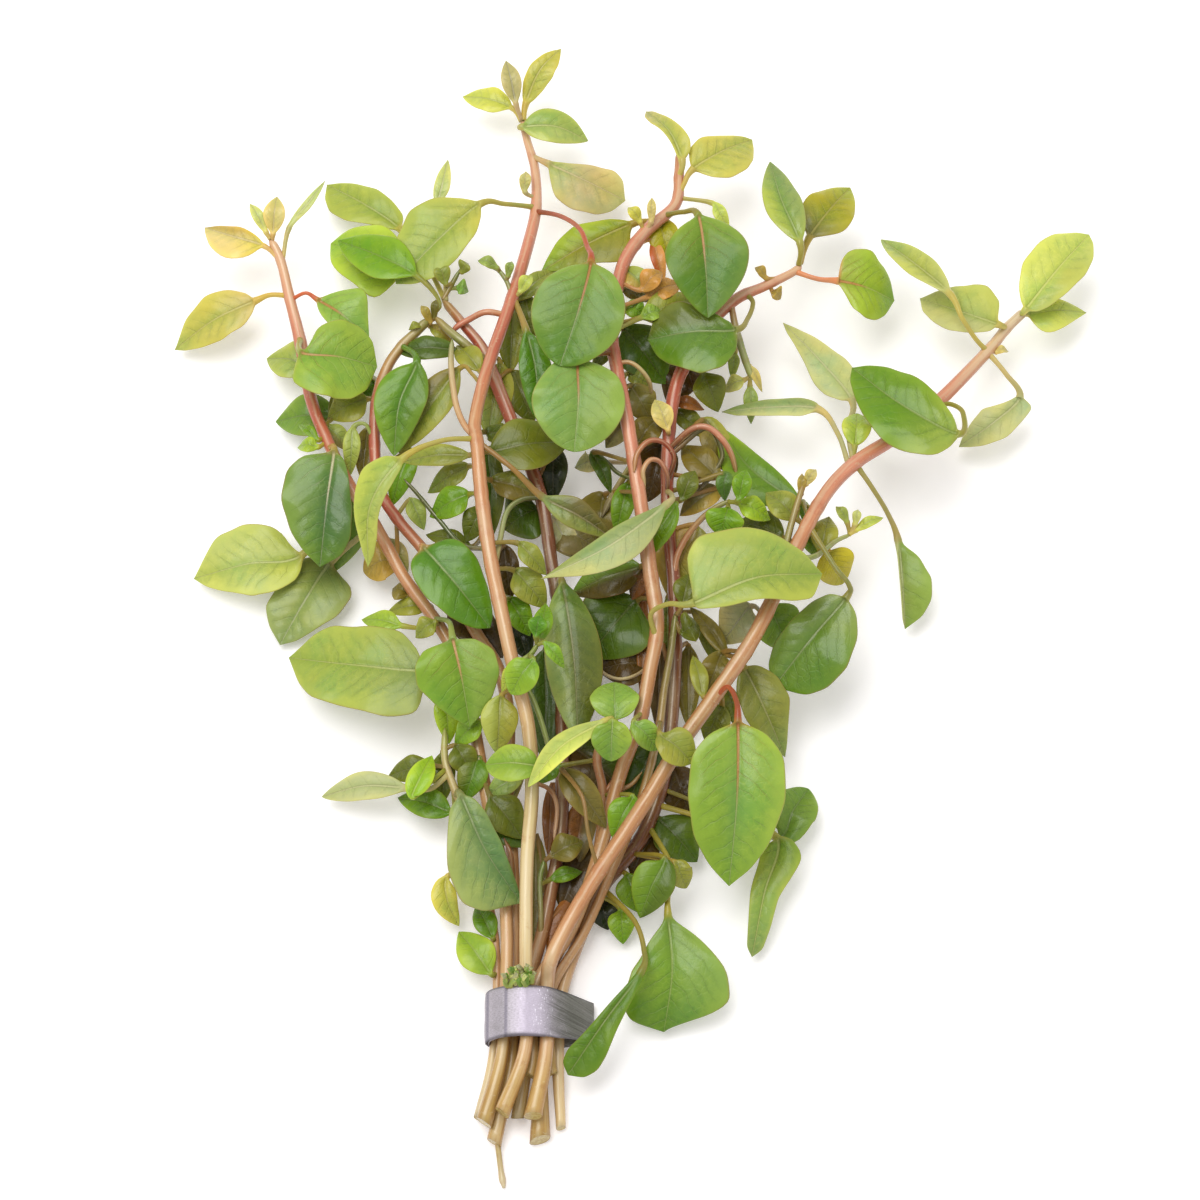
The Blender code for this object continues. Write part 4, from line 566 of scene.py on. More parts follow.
def leaves(table):
    """Leaves from lines of: name and root, foot, tip, width colour and outline, what is special."""
    found = []
    for row in table.strip().replace("\n    ", " ").split("\n"):
        root, base, tip, looks, *special = row.split(",")
        name, *at = root.split()
        wide, tint, *shape = looks.split()
        outline = SHAPES[shape[0] if shape else "ovate"]
        extra = {key: meaning(*words) for key, *words in map(str.split, special)}
        at = numbers(" ".join(at))
        base, tip = numbers(base), numbers(tip)
        found.append(Leaf(name, at, base, tip, float(wide), PALETTE[tint], outline, **extra))
    return found


# Small leaves in the darkest brown or the near black carry painted shade where the bunch is deepest.
LEAVES, SMALL_LEAVES = {}, {}
print("words of a leaf:", ", ".join(Leaf._fields))

# %% Leaves of the outer left stem
LEAVES["left_outer"] = leaves("""
leaf_left_light 434 618, 453 640 21, 470 727 15, 84 grass, via 449 622, bow 1, left fresh, rib salmon,
    stalk sage, sides 0.05 20 30 / 0.25 38 44 / 0.5 39 46 / 0.75 27 29 / 0.9 13 14
leaf_left_big_dark 331 446, 334 452 16, 320 567 11, 70 dusk, right ivy, foot ivy, end fern, rib cream,
    stalk copper, sides 0.08 10 28 / 0.25 18 45 / 0.5 26 46 / 0.75 28 33 / 0.9 20 17
leaf_left_round 300 342, 302 353 18, 377 367 14, 74 apple round, rib salmon, sides 0.05 12 30 /
    0.25 27 41 / 0.5 37 43 / 0.75 35 39 / 0.92 23 26
leaf_left_lime_wide 452 650, 425 670 13, 289 658 6, 88 lime elliptic, bow 4, share 0.52, fold 0.1,
    foot sage, sides 0.06 42 18 / 0.25 49 40 / 0.5 43 40 / 0.75 38 38 / 0.88 24 26
leaf_far_left 285 297, 255 301 10, 175 350 3, 44 butter, via 270 295 11, bow -2, foot peach,
    end citrus, sides 0.08 9 10 / 0.25 19 21 / 0.5 22 25 / 0.75 16 17 / 0.9 8 7
leaf_left_lime 350 488, 302 555 7, 194 579 3, 74 citrus, foot lime, sides 0.1 20 26 / 0.25 30 34 /
    0.5 33 40 / 0.75 21 34 / 0.9 11 15
leaf_left_grey_olive 376 527, 331 562 4, 280 645 2, 76 sage, foot mossy, sides 0.1 30 22 /
    0.25 39 30 / 0.5 36 31 / 0.75 22 31 / 0.9 12 18
""")
SMALL_LEAVES["left_outer"] = leaves("""
tip_left 279 258, 264 246 13, 205 228 10, 34 peach, bow 3, share 0.68, right copper, foot butter
tip_left_up 272 242, 273 234 14, 277 197 16, 22 peach
tip_left_back 271 240, 266 232 14, 250 204 15, 12 straw
tip_left_slim 282 262, 289 228 13, 325 181 15, 9 straw, bow -3
left_right_green 294 297, 318 300 12, 369 338 11, 46 fresh, via 306 293, rib rose, stalk rose,
    sides 0.08 8 6 / 0.21 20 11 / 0.38 34 15 / 0.58 32 17 / 0.8 15 13
left_back_grey 302 350, 312 366 8, 267 359 4, 40 sage, right sage
left_back_dark 322 428, 334 415 7, 276 422 3, 44 ivy
left_bud_a 325 438, 318 440 12, 299 425 10, 10 leafy
left_bud_b 327 442, 318 447 12, 298 448 10, 16 apple
left_under_dark 350 486, 347 494 8, 330 574 5, 60 ivy, lift -3
left_brown_small 414 592, 409 594 10, 393 589 8, 26 umber
in_below_a 470 705, 446 694 10, 449 744 6, 26 spring
in_below_b 474 722, 480 722 12, 455 745 9, 26 grass
in_grey_low 482 780, 490 796 11, 522 839 8, 40 mossy
in_dark_low 491 818, 490 822 5, 531 846 4, 32 forest, lift 2
in_lime_a 440 616, 435 622 15, 416 638 13, 22 khaki, slide 1.5
in_lime_b 441 630, 403 626 12, 362 620 8, 22 apple
left_olive_strip 322 428, 330 420 8, 364 390 7, 30 mossy
left_fill_grey 322 425, 326 426 9, 352 452 6, 20 sage, right taupe
olive_low_left 436 612, 430 606 9, 388 612 7, 20 khaki
under_light 486 790, 480 758 9, 464 802 7, 31 fern, right mossy
over_grey_low 495 840, 522 776 9, 486 797 8, 24 sage
left_lower_gap 390 545, 388 540 6, 408 572 5, 20 khaki, left mist
""")
print("left_outer:", len(SMALL_LEAVES["left_outer"]), "small leaves")

# %% Leaves of the inner left stem
LEAVES["left_inner"] = leaves("""
leaf_left_inner_dark 424 551, 424 548 19, 490 628 16, 60 vivid, rib sage, stalk amber,
    sides 0.03 12 13 / 0.1 26 22 / 0.23 32 29 / 0.43 33 32 / 0.7 23 26 / 0.85 15 18 / 0.94 9 11
leaf_left_bright 402 347, 417 361 20, 394 456 15, 52 vivid, bow -6, left fern, right leafy,
    end meadow, stalk fern
""")
SMALL_LEAVES["left_inner"] = leaves("""
left_hanging_pale 374 440, 354 427 14, 350 476 10, 18 sage, via 365 424, stalk sage
left_olive_round 398 520, 396 556 7, 364 572 4, 40 copper round
inner_dark 404 344, 455 350 17, 398 352 16, 24 forest elliptic, lift -2
upper_green 430 318, 417 276 16, 338 241 11, 46 leafy, via 440 303 15, lift 1
upper_low 430 318, 406 270 9, 331 244 5, 56 apple round, via 440 304 14 / 425 280 11, lift 1,
    sides 0.06 28 8 / 0.15 40 16 / 0.3 40 28 / 0.5 33 32 / 0.75 27 28 / 0.9 17 19
in_dark_l 376 405, 384 396 11, 391 438 8, 22 fern
in_dark_m 376 402, 368 399 10, 328 418 8, 36 khaki
in_pale_left 396 516, 410 500 12, 424 530 10, 20 sage
left_brown_strip 375 450, 369 428 9, 362 481 8, 22 umber
dark_under_inner 452 592, 450 602 5, 503 658 5, 42 peat
knot_leaf 425 322, 430 326 13, 454 345 11, 15 copper, right khaki
under_folded 376 470, 410 450 12, 392 506 9, 27 leafy
under_round_right 378 380, 372 378 8, 366 402 6, 16 fern
bud_knot_a 425 322, 430 322 15, 421 306 17, 9 copper
bud_knot_b 428 320, 434 318 15, 436 300 17, 8 umber
bud_knot_c 425 322, 422 326 15, 409 330 16, 8 khaki
""")
print("left_inner:", len(SMALL_LEAVES["left_inner"]), "small leaves")

# %% Leaves of the stem left of the centre
LEAVES["centre_left"] = leaves("""
leaf_left_folded 475 441, 402 459 28, 368 567 18, 38 lime elliptic, via 440 441, bow -15, share 0.35,
    fold -0.2, left citrus, end citrus, sides 0.08 5 16 / 0.25 9 27 / 0.5 10 18 / 0.75 10 9 / 0.9 6 5
leaf_centre_high 537 212, 591 262 32, 560 366 28, 94 ivy round, via 560 216 18 / 579 228 25 /
    587 246 29, bow 3, foot fresh, end fern, rib rose, stalk brick
leaf_upper_pale_big 536 208, 480 204 18, 396 284 14, 66 lime, via 505 204, foot butter,
    sides 0.08 10 12 / 0.25 22 33 / 0.5 27 41 / 0.75 25 30 / 0.9 14 15
leaf_middle_slim 478 445, 541 496 22, 616 541 18, 27 umber lance, via 512 468, roll 0.3, right khaki,
    foot sage
leaf_upper_slim_green 512 300, 526 330 18, 538 421 14, 33 vivid elliptic, bow 4, stalk copper
leaf_middle_lime 531 765, 539 766 21, 486 765 19, 38 apple round, foot grass
leaf_crown_pink 536 155, 549 164 12, 625 201 8, 42 peach, bow -2, share 0.55, fold -0.15, foot citrus,
    end straw, sides 0.08 5 8 / 0.25 11 25 / 0.5 19 29 / 0.75 25 23 / 0.9 19 14
leaf_crown_low 525 130, 522 127 12, 588 141 9, 34 citrus, bow 4, left lime, right citrus, end citrus
leaf_crown_right 523 122, 526 103 10, 561 49 14, 30 butter, bow 4, sides 0.08 5 6 / 0.25 10 12 /
    0.5 11 15 / 0.75 8 11 / 0.9 4 5
""")
SMALL_LEAVES["centre_left"] = leaves("""
inner_olive 483 383, 460 368 18, 399 453 12, 38 khaki, via 472 374 20, right umber
crown_brown 521 121, 516 104 10, 506 61 12, 20 mist, lift 1
crown_left 522 122, 512 108 9, 463 97 6, 26 citrus
crown_bud 530 200, 525 192 12, 526 172 13, 12 peach
bud_c 513 295, 520 292 17, 532 276 18, 14 citrus
in_olive_wide 478 450, 489 452 18, 569 442 14, 54 mossy
in_dark_a 481 478, 490 480 14, 541 498 11, 30 umber, lift 1, left mossy
in_olive_a 488 545, 517 543 20, 546 575 17, 22 khaki
in_olive_b 492 566, 513 570 16, 546 608 13, 34 khaki, left khaki
in_dark_g 499 598, 508 598 13, 530 636 10, 28 leafy
in_olive_left 478 466, 470 466 16, 428 493 10, 24 khaki
in_lime_left 482 496, 470 494 17, 430 517 12, 32 leafy
in_slim_left 477 446, 470 455 20, 403 462 16, 22 khaki
in_green_left 484 508, 484 507 15, 466 542 11, 28 mossy
in_below_c 519 690, 502 695 18, 497 754 13, 38 khaki, right sage
knot_tan 484 378, 480 371 18, 457 346 14, 26 khaki elliptic
deep_high 512 298, 517 300 13, 556 270 12, 20 khaki
in_brown_left 492 560, 503 546 14, 511 600 9, 26 peat
under_joint 478 434, 484 432 12, 516 442 10, 22 mossy
left_of_high 520 290, 524 294 12, 533 340 10, 26 mossy
under_kidney 512 298, 514 306 10, 510 374 8, 32 mossy, left khaki
dark_wedge 485 530, 472 547 11, 426 535 9, 20 mossy
""")
SMALL_LEAVES["bud_shoot_centre"] = leaves("""
bud_a 500 271, 497 268 17, 478 261 18, 12 sage
bud_b 507 280, 508 276 17, 512 262 18, 9 sage
""")
SMALL_LEAVES["tuft_shoot"] = leaves("""
tuft_a 538 643, 536 636 27, 540 616 28, 20 vivid
tuft_b 538 643, 545 643 27, 564 668 25, 15 grass
tuft_c 530 656, 533 660 27, 511 694 24, 35 grass round
tuft_d 520 665, 516 664 23, 502 692 20, 14 lime
tuft_e 538 643, 541 640 24, 546 604 22, 20 leafy
""")
print("centre_left:", len(SMALL_LEAVES["centre_left"]), "small leaves")

# %% Leaves of the hidden stem
LEAVES["hidden"] = leaves("""
leaf_centre_grey 556 590, 562 582 18, 578 740 14, 58 mossy elliptic, bow 4, fold -0.15, right sage,
    foot ivy
leaf_upper_lime 444 302, 400 229 12, 327 185 8, 52 lime, via 425 262 12, lift -5, sides 0.08 7 12 /
    0.25 13 17 / 0.5 25 20 / 0.75 24 14 / 0.9 14 7
""")
SMALL_LEAVES["hidden"] = leaves("""
upper_pink_slim 443 300, 438 214 9, 448 160 9, 16 straw, lift 3
in_grey_behind 498 350, 500 362 9, 488 438 8, 38 khaki
in_dark_b 543 502, 538 508 8, 505 530 5, 56 forest, end mossy
in_dark_c 533 476, 553 448 9, 553 502 6, 30 night
deep_slim 494 380, 511 371 9, 533 424 7, 36 mossy
in_grey_mid 550 545, 556 527 6, 597 549 5, 46 taupe
dark_behind_grey 560 650, 546 648 5, 546 764 4, 46 forest
dark_mid_low 562 720, 566 740 4, 624 792 3.5, 60 peat, left forest
strip_brown 561 833, 586 796 4, 572 874 3, 32 bark, left taupe
deep_low 553 880, 586 846 3, 561 910 2.5, 44 peat
deep_stems 548 905, 537 836 3, 534 962 2.3, 26 umber
deep_fan 545 925, 580 890 2.2, 548 964 2, 30 bark
dark_by_stem 541 497, 492 448 12, 492 538 8, 28 forest, left mossy
hole_dark 562 640, 514 622 5, 528 660 4, 28 night
thread_shade 561 800, 553 784 4, 548 856 3.5, 17 bark
top_left_of_grey 560 575, 552 520 6, 574 558 5, 34 mist
""")
SMALL_LEAVES["tip_shoot_left"] = leaves("""
shoot_left_a 460 270, 462 272 15, 468 264 16, 15 khaki
shoot_left_b 452 284, 446 284 15, 438 264 16, 17 khaki
shoot_left_c 450 288, 457 288 13, 468 292 12, 17 fresh
""")
SMALL_LEAVES["low_shoot"] = leaves("""
low_a 545 860, 551 856 9, 583 842 9, 30 umber
low_b 541 884, 550 880 6, 582 872 5, 16 fern
""")
print("hidden:", len(SMALL_LEAVES["hidden"]), "small leaves")

# %% Leaves of the centre stem
LEAVES["centre"] = leaves("""
leaf_centre_kidney 612 352, 579 357 29, 574 452 26, 94 fresh round, via 598 354, bow 2, lift -2,
    rib rose, stalk bark
leaf_top_big 666 212, 698 215 27, 708 318 24, 84 fern, via 683 212, bow 2, share 0.53, left ivy,
    foot apple, rib salmon
leaf_right_lime 654 636, 694 603 28, 822 574 26, 72 lime elliptic, via 651 614 / 668 604, bow 6,
    share 0.76, arch 2.5, foot citrus, sides 0.02 22 6 / 0.08 43 9 / 0.25 60 17 / 0.5 53 23 /
    0.75 37 27 / 0.9 23 25
leaf_top_lime 679 194, 693 169 18, 752 140 14, 40 butter, via 684 184 18, sides 0.05 7 10 /
    0.15 18 19 / 0.35 22 28 / 0.6 17 29 / 0.8 11 21 / 0.93 6 10
leaf_top_curled 679 178, 682 160 19, 646 112 15, 34 citrus, bow -5, fold 0.35, left butter,
    right butter, foot butter, end peach, sides 0.1 3 10 / 0.25 4 14 / 0.5 6 11 / 0.75 8 7 / 0.93 6 5
leaf_behind_yellow 655 223, 632 224 16, 541 272 12, 48 mustard, left khaki, right spring,
    foot mustard, end apple, sides 0.08 9 6 / 0.2 31 13 / 0.35 30 18 / 0.5 22 22 / 0.75 14 17 / 0.9 6 8
""")
SMALL_LEAVES["centre"] = leaves("""
top_slim 677 196, 712 203 17, 729 233 15, 14 citrus
top_bud_a 644 233, 640 222 20, 628 208 21, 13 butter
top_bud_b 646 232, 651 222 20, 652 198 21, 9 peach
tuft_bronze_a 618 285, 640 290 20, 662 272 21, 22 honey
tuft_bronze_b 613 320, 640 318 19, 704 302 16, 36 khaki
middle_pair 641 716, 634 722 21, 657 750 18, 26 fresh round
in_brown 639 494, 606 494 9, 594 546 5, 54 umber
in_slim_a 632 462, 594 452 14, 611 493 12, 16 forest
in_dark_d 623 395, 630 386 16, 652 424 13, 34 umber
in_dark_wide 654 602, 638 600 10, 588 658 7, 80 forest
in_slim_b 638 484, 629 482 15, 616 535 12, 24 fern
in_dark_f 654 648, 650 662 8, 598 670 6, 46 peat
deep_brown_high 615 330, 622 328 13, 666 384 9, 54 forest, end fern
brown_knot 628 425, 636 444 15, 660 418 13, 30 umber
tuft_tan 614 305, 645 298 19, 682 284 17, 24 honey
tuft_green_a 612 330, 628 306 18, 644 318 17, 22 grass
tuft_green_b 612 330, 640 318 20, 665 312 18, 18 fresh
under_lance 646 550, 642 566 13, 572 594 9, 42 mossy, left peat, right ivy
crown_fill_olive 618 290, 622 290 14, 650 302 12, 16 umber
crown_fill_green 612 352, 610 350 16, 592 370 13, 16 mossy
crown_fill_tan 620 385, 626 374 12, 652 388 10, 18 khaki
gold_behind 650 230, 658 218 16, 669 264 14, 32 mustard
rust_slim 636 246, 652 240 16, 664 284 14, 15 amber, right brick
knot_green 618 285, 624 270 19, 650 294 18, 24 sage, right copper
pale_bit 632 462, 602 462 7, 575 468 6, 22 mist
kidney_shade 628 425, 626 424 12, 606 448 9, 24 taupe, left mist
brown_by_stem 652 580, 649 566 12, 632 600 10, 26 bark, right peat
maroon_strip 652 600, 644 590 9, 641 700 6, 13 bark
""")
print("centre:", len(SMALL_LEAVES["centre"]), "small leaves")

# %% Leaves of the inner right stem
LEAVES["right_inner"] = leaves("""
leaf_centre_lance 668 493, 666 505 26, 541 579 25, 36 straw lance, via 672 496, bow 9, share 0.6,
    fold -0.15, right sage, foot sage
leaf_top_dark_big 748 293, 736 330 22, 648 340 19, 60 ivy, via 753 303 19 / 748 318 20, left fern,
    right mossy, foot fern, sides 0.05 18 8 / 0.2 38 14 / 0.4 43 24 / 0.6 38 31 / 0.8 28 31 /
    0.92 18 22
leaf_low_diamond 648 828, 668 915 9, 664 1032 3, 97 grass blunt, via 672 868 9 / 668 897 9, bow 6,
    left fresh, foot ivy, end fern, sides 0.1 8 6 / 0.25 28 22 / 0.5 55 40 / 0.7 61 44 / 0.8 45 46 /
    0.9 20 42 / 0.97 4 33
leaf_low_paddle 606 888, 641 972 8, 568 1075 3, 38 fern paddle, via 634 920 8 / 644 950 8, lift 4,
    sides 0.1 5 3 / 0.3 10 6 / 0.5 15 8 / 0.7 21 11 / 0.85 22 15 / 0.95 15 12
leaf_top_right_green 797 266, 800 243 19, 770 162 15, 37 fresh, bow 4, lift 2, left lime, right sage,
    foot lime, end sage
leaf_top_right_bronze 800 264, 809 238 18, 850 188 14, 51 mustard, lift -2, foot taupe, end lime
leaf_top_right_round 795 271, 838 281 16, 894 301 11, 62 spring round, via 818 279 17, foot lime,
    end fresh, rib rose, stalk salmon, sides 0.02 18 2 / 0.1 29 7 / 0.21 35 14 / 0.35 36 25 /
    0.55 35 30 / 0.78 27 27 / 0.9 16 18
leaf_low_drooping 655 800, 777 838 8, 752 957 3, 46 lime drooping, via 720 822 8, bow -1, right lime,
    foot grass, end sage, sides 0.04 12 11 / 0.15 25 18 / 0.3 21 15 / 0.5 15 14 / 0.75 13 10 / 0.93 9 7
""")
SMALL_LEAVES["right_inner"] = leaves("""
right_end_bud 778 280, 766 278 19, 755 268 20, 10 copper
right_low_bud 770 284, 773 292 17, 780 299 16, 15 copper round
low_right_bright 630 852, 664 858 12, 640 918 8, 44 fern, left forest
low_right_back 632 850, 674 862 9, 686 888 6, 26 khaki round, lift 2
low_behind_bluish 662 786, 777 838 6, 808 789 4, 48 ivy round, via 720 812 7
in_pale 670 437, 668 430 18, 655 400 18, 22 peach
in_bronze 668 472, 714 478 14, 682 446 12, 32 umber
in_bright_a 668 502, 681 500 16, 695 471 17, 22 mossy
in_dark_e 690 352, 702 372 13, 718 412 10, 34 mossy, lift 1
in_grey_right 671 530, 696 526 12, 668 596 7, 58 copper, left khaki
in_dark_i 652 815, 658 818 6, 697 862 4, 46 forest
in_bright_b 668 512, 676 504 20, 641 562 16, 28 leafy
in_green_low 602 896, 620 908 4, 623 944 2, 28 grass
in_dark_j 616 873, 626 874 6, 640 913 3, 34 fern
deep_maroon 682 372, 690 362 9, 668 404 7, 40 peat
deep_coil 668 478, 664 442 8, 648 502 6, 42 peat
olive_band 668 455, 702 420 12, 732 476 9, 30 umber, left khaki
between_right 675 650, 688 645 6, 688 728 5, 26 umber
deep_gap 603 892, 600 898 2.2, 608 930 1.8, 34 night
deep_right_low 663 775, 672 766 5, 690 818 4, 46 peat
deep_triangle 640 838, 653 834 4.5, 631 876 3.5, 32 peat
right_fill_dark 668 422, 674 412 10, 708 438 7, 22 mossy
by_outer_dark 673 615, 700 614 9, 716 665 7, 19 mossy
blue_oval 670 490, 722 474 15, 725 501 12, 17 dusk
grey_twigs 668 500, 718 488 11, 680 516 9, 26 taupe, left copper
bark_strip_high 673 402, 674 402 12, 704 410 10, 14 bark
green_by_stem 674 590, 668 598 10, 667 654 8, 14 mossy
""")
SMALL_LEAVES["hanging_shoot"] = leaves("""
hang_a 750 375, 750 386 11, 751 424 6, 15 sage
hang_b 751 378, 744 380 11, 724 392 8, 17 straw
hang_c 746 362, 749 366 13, 762 392 9, 9 peach
hang_d 738 340, 735 352 12, 732 380 9, 12 sage
""")
SMALL_LEAVES["curved_shoot"] = leaves("""
curved_a 728 501, 728 508 20, 721 536 18, 40 leafy round
curved_b 730 500, 738 500 22, 746 470 23, 20 leafy
curved_c 729 500, 738 503 19, 770 520 16, 24 spring
""")
print("right_inner:", len(SMALL_LEAVES["right_inner"]), "small leaves")

# %% Leaves of the outer right stem
LEAVES["right_outer"] = leaves("""
leaf_right_front 715 695, 738 722 25, 729 886 13, 98 fresh, via 728 687 / 736 700, bow 3, arch 2.5,
    left apple, right grass, foot apple, end grass, rib rose, stalk brick, sides 0.1 28 28 /
    0.25 46 47 / 0.5 49 50 / 0.75 36 41 / 0.9 19 22
leaf_right_two_tone 806 528, 846 598 19, 774 687 12, 76 ivy, via 835 567 22 / 849 585 21, left fern,
    foot sage, sides 0.08 17 15 / 0.25 35 24 / 0.5 47 27 / 0.75 43 26 / 0.9 31 18
leaf_right_big 930 405, 958 434 23, 852 368 21, 68 leafy, via 950 404 17 / 963 413 20, bow 8,
    foot lime, sides 0.04 11 7 / 0.13 30 15 / 0.31 40 27 / 0.44 42 30 / 0.62 33 31 / 0.8 22 23 /
    0.93 12 11
leaf_right_hanging 857 462, 898 540 9, 905 629 4, 34 sage, via 873 489 / 888 514 12, share 0.86,
    fold 0.3, left fresh, right straw, sides 0.08 4 2 / 0.25 18 2 / 0.5 29 2 / 0.75 28 2 / 0.9 18 2
leaf_right_lance 856 463, 852 400 13, 783 323 8, 40 straw lance, via 848 428 16, fold -0.15,
    sides 0.05 9 10 / 0.2 18 20 / 0.35 19 22 / 0.55 12 18 / 0.75 7 12 / 0.9 4 6
leaf_right_twisted 852 464, 818 409 14, 722 412 9, 20 straw lance, via 838 434, roll 0.4, right sage,
    end sage, sides 0.06 7 7 / 0.2 12 10 / 0.5 11 10 / 0.85 7 6
leaf_tip_lime 1020 312, 1026 309 14, 1089 235 12, 58 glow, left glow, right citrus, end glow,
    sides 0.04 7 9 / 0.16 19 16 / 0.36 32 23 / 0.6 32 25 / 0.8 26 20 / 0.95 11 9
leaf_tip_pale_up 1004 327, 997 324 15, 920 299 11, 50 citrus, bow 3, left straw, end straw,
    sides 0.06 8 21 / 0.3 19 32 / 0.5 22 30 / 0.7 19 24 / 0.88 12 12
leaf_tip_folded 985 350, 950 294 19, 881 240 9, 28 citrus elliptic, via 975 338 16 / 962 318 19,
    bow 1, fold 0.4, foot straw
leaf_tip_pale_low 987 350, 1020 397 9, 959 447 4, 44 straw, via 1006 374 12, bow 5, sides 0.06 15 4 /
    0.25 17 9 / 0.5 20 18 / 0.75 13 13 / 0.9 6 7
leaf_right_olive 737 664, 744 668 13, 785 757 7, 60 khaki elliptic, lift 1, end sage,
    sides 0.08 13 10 / 0.25 26 19 / 0.5 28 22 / 0.75 15 16 / 0.9 7 8
""")
SMALL_LEAVES["right_outer"] = leaves("""
tip_right_low 1020 312, 1028 314 10, 1086 313 6, 34 citrus, sides 0.04 3 9 / 0.18 7 20 / 0.35 11 23 /
    0.52 12 19 / 0.75 9 10 / 0.9 4 4
tip_right_bud 990 345, 996 352 12, 1008 352 11, 8 peach
right_bud_round 857 462, 855 446 17, 857 414 15, 30 lime round, lift 1
in_dark_long 817 508, 802 504 15, 720 427 11, 42 fern, bow 12, share 0.62, end apple
in_olive_right 808 528, 798 520 18, 766 493 17, 30 khaki
in_bluish_right 798 546, 784 538 14, 737 522 11, 36 mossy
in_arched 598 873, 562 770 17, 606 828 13, 32 umber, via 588 832 18 / 582 796 19
in_olive_low 718 690, 722 704 15, 706 743 11, 32 mossy
in_green_right 774 596, 768 604 15, 788 652 9, 50 ivy
in_bronze_slim 744 655, 728 655 15, 690 607 11, 18 umber
in_olive_slim 715 695, 704 697 19, 693 656 17, 18 khaki
under_outer 744 655, 724 652 15, 706 694 12, 30 umber
grey_under_lime 764 620, 752 606 17, 722 644 12, 46 mist
lime_shadow 805 528, 806 536 15, 817 557 12, 18 fern
olive_by_front 722 686, 727 686 14, 735 726 11, 17 mossy
by_right_stem 806 515, 803 502 15, 805 524 13, 12 fern
""")
SMALL_LEAVES["bent_shoot_right"] = leaves("""
sprig_a 848 536, 856 530 16, 883 518 16, 11 citrus
sprig_b 850 535, 847 522 17, 836 507 18, 11 sage
sprig_c 851 534, 855 524 17, 858 510 18, 9 straw
sprig_d 832 544, 828 551 15, 842 584 9, 42 mustard round
sprig_e 818 554, 820 552 16, 829 517 14, 28 khaki
""")
SMALL_LEAVES["twig_right"] = leaves("""
twig_leaf 805 484, 806 484 22, 816 470 23, 12 peach
twig_bud 801 495, 801 494 21, 802 474 22, 9 copper
""")
print("right_outer:", len(SMALL_LEAVES["right_outer"]), "small leaves")

# %% Leaves of the short right stem
SMALL_LEAVES["short_right"] = leaves("""
short_right_a 676 614, 682 605 16, 690 574 15, 26 mossy
short_right_b 675 622, 681 632 15, 700 628 14, 32 mossy
middle_olive 660 722, 660 734 23, 692 763 22, 38 khaki round
in_dark_h 652 762, 656 744 10, 628 803 8, 42 forest
between_left 668 665, 661 640 7, 657 730 6, 22 peat
""")
print("short_right:", len(SMALL_LEAVES["short_right"]), "small leaves")

# %% Leaves of the short middle stem
LEAVES["short_middle"] = leaves("""
leaf_twisted_light 610 718, 604 722 24, 528 787 22, 27 glow elliptic, bow -7, roll 0.4, right citrus,
    foot citrus
leaf_middle_round_low 608 727, 612 722 23, 611 761 20, 41 fresh round, lift 3, slide 1.5, left apple,
    right grass, foot apple
""")
SMALL_LEAVES["short_middle"] = leaves("""
middle_bluish 611 722, 615 720 22, 614 683 19, 50 fresh round, lift -3
middle_hanging 603 797, 632 796 20, 613 839 18, 32 leafy, lift -5
under_twist 603 760, 562 766 13, 536 784 11, 17 fern
""")
print("short_middle:", len(SMALL_LEAVES["short_middle"]), "small leaves")

# %% Leaves of the short left stem
LEAVES["short_left"] = leaves("""
leaf_low_left_big 458 797, 461 796 15, 521 903 9, 62 moss_grey elliptic, bow -6, share 0.42,
    right sage, foot sage, sides 0.08 10 14 / 0.25 17 25 / 0.5 18 43 / 0.75 12 49 / 0.9 6 35
leaf_low_pale_lance 449 776, 407 788 8, 322 797 3, 29 straw elliptic, via 430 789 9, bow -4
""")
SMALL_LEAVES["short_left"] = leaves("""
low_left_yellow 480 868, 448 876 7, 459 926 3, 26 butter, bow -6, share 0.4
low_left_bright 498 975, 491 974 5, 459 932 3, 38 apple
low_left_lime 447 770, 413 797 11, 432 756 9, 26 spring, lift 2
low_left_dark 455 792, 452 811 7, 398 798 4, 31 fern
in_round_left 445 750, 455 746 9, 471 773 7, 30 mossy round, lift 1
in_dark_k 494 938, 493 938 5, 476 906 3, 24 fern
low_left_behind 447 765, 432 766 8, 388 777 5, 27 mossy
behind_lime_leaf 445 748, 443 752 7, 444 802 5, 25 mossy
""")
print("short_left:", len(SMALL_LEAVES["short_left"]), "small leaves")

# %% [markdown]
# ## Moss
# A tuft of moss has grown between the stems, just above the strip. Its blades are too many and too
# alike to list, so chance places them, from a fixed seed that gives the same tuft on each run.

# %% Moss between the stems
MOSS_BLADES = 34
MOSS_FROM_U, MOSS_SPAN_U, MOSS_V = 507, 26, (972, 986)
MOSS_ROOT, MOSS_HEIGHT, MOSS_WIDTH = (526, 982), 11, 4.5
MOSS_TURN, MOSS_REACH, MOSS_TIP_HEIGHT = (-2.6, -0.5), (6, 11), (11, 14)
MOSS_COLOURS = ("sage", "mist", "ivy", "straw")
chance = np.random.default_rng(12)
for k in range(MOSS_BLADES):
    u = MOSS_FROM_U + MOSS_SPAN_U * (k + chance.uniform(0, 1)) / MOSS_BLADES
    v = chance.uniform(*MOSS_V)
    turned, reach = chance.uniform(*MOSS_TURN), chance.uniform(*MOSS_REACH)
    tip = (u + reach * math.cos(turned), v + reach * math.sin(turned), chance.uniform(*MOSS_TIP_HEIGHT))
    foot, tip = (round(u, 1), round(v, 1), MOSS_HEIGHT), tuple(round(number, 1) for number in tip)
    tint = PALETTE[MOSS_COLOURS[k % 4]]
    blade = Leaf(f"moss_{k}", MOSS_ROOT, foot, tip, MOSS_WIDTH, tint, SHAPES["ovate"], fold=0.3)
    SMALL_LEAVES["centre_left"].append(blade)
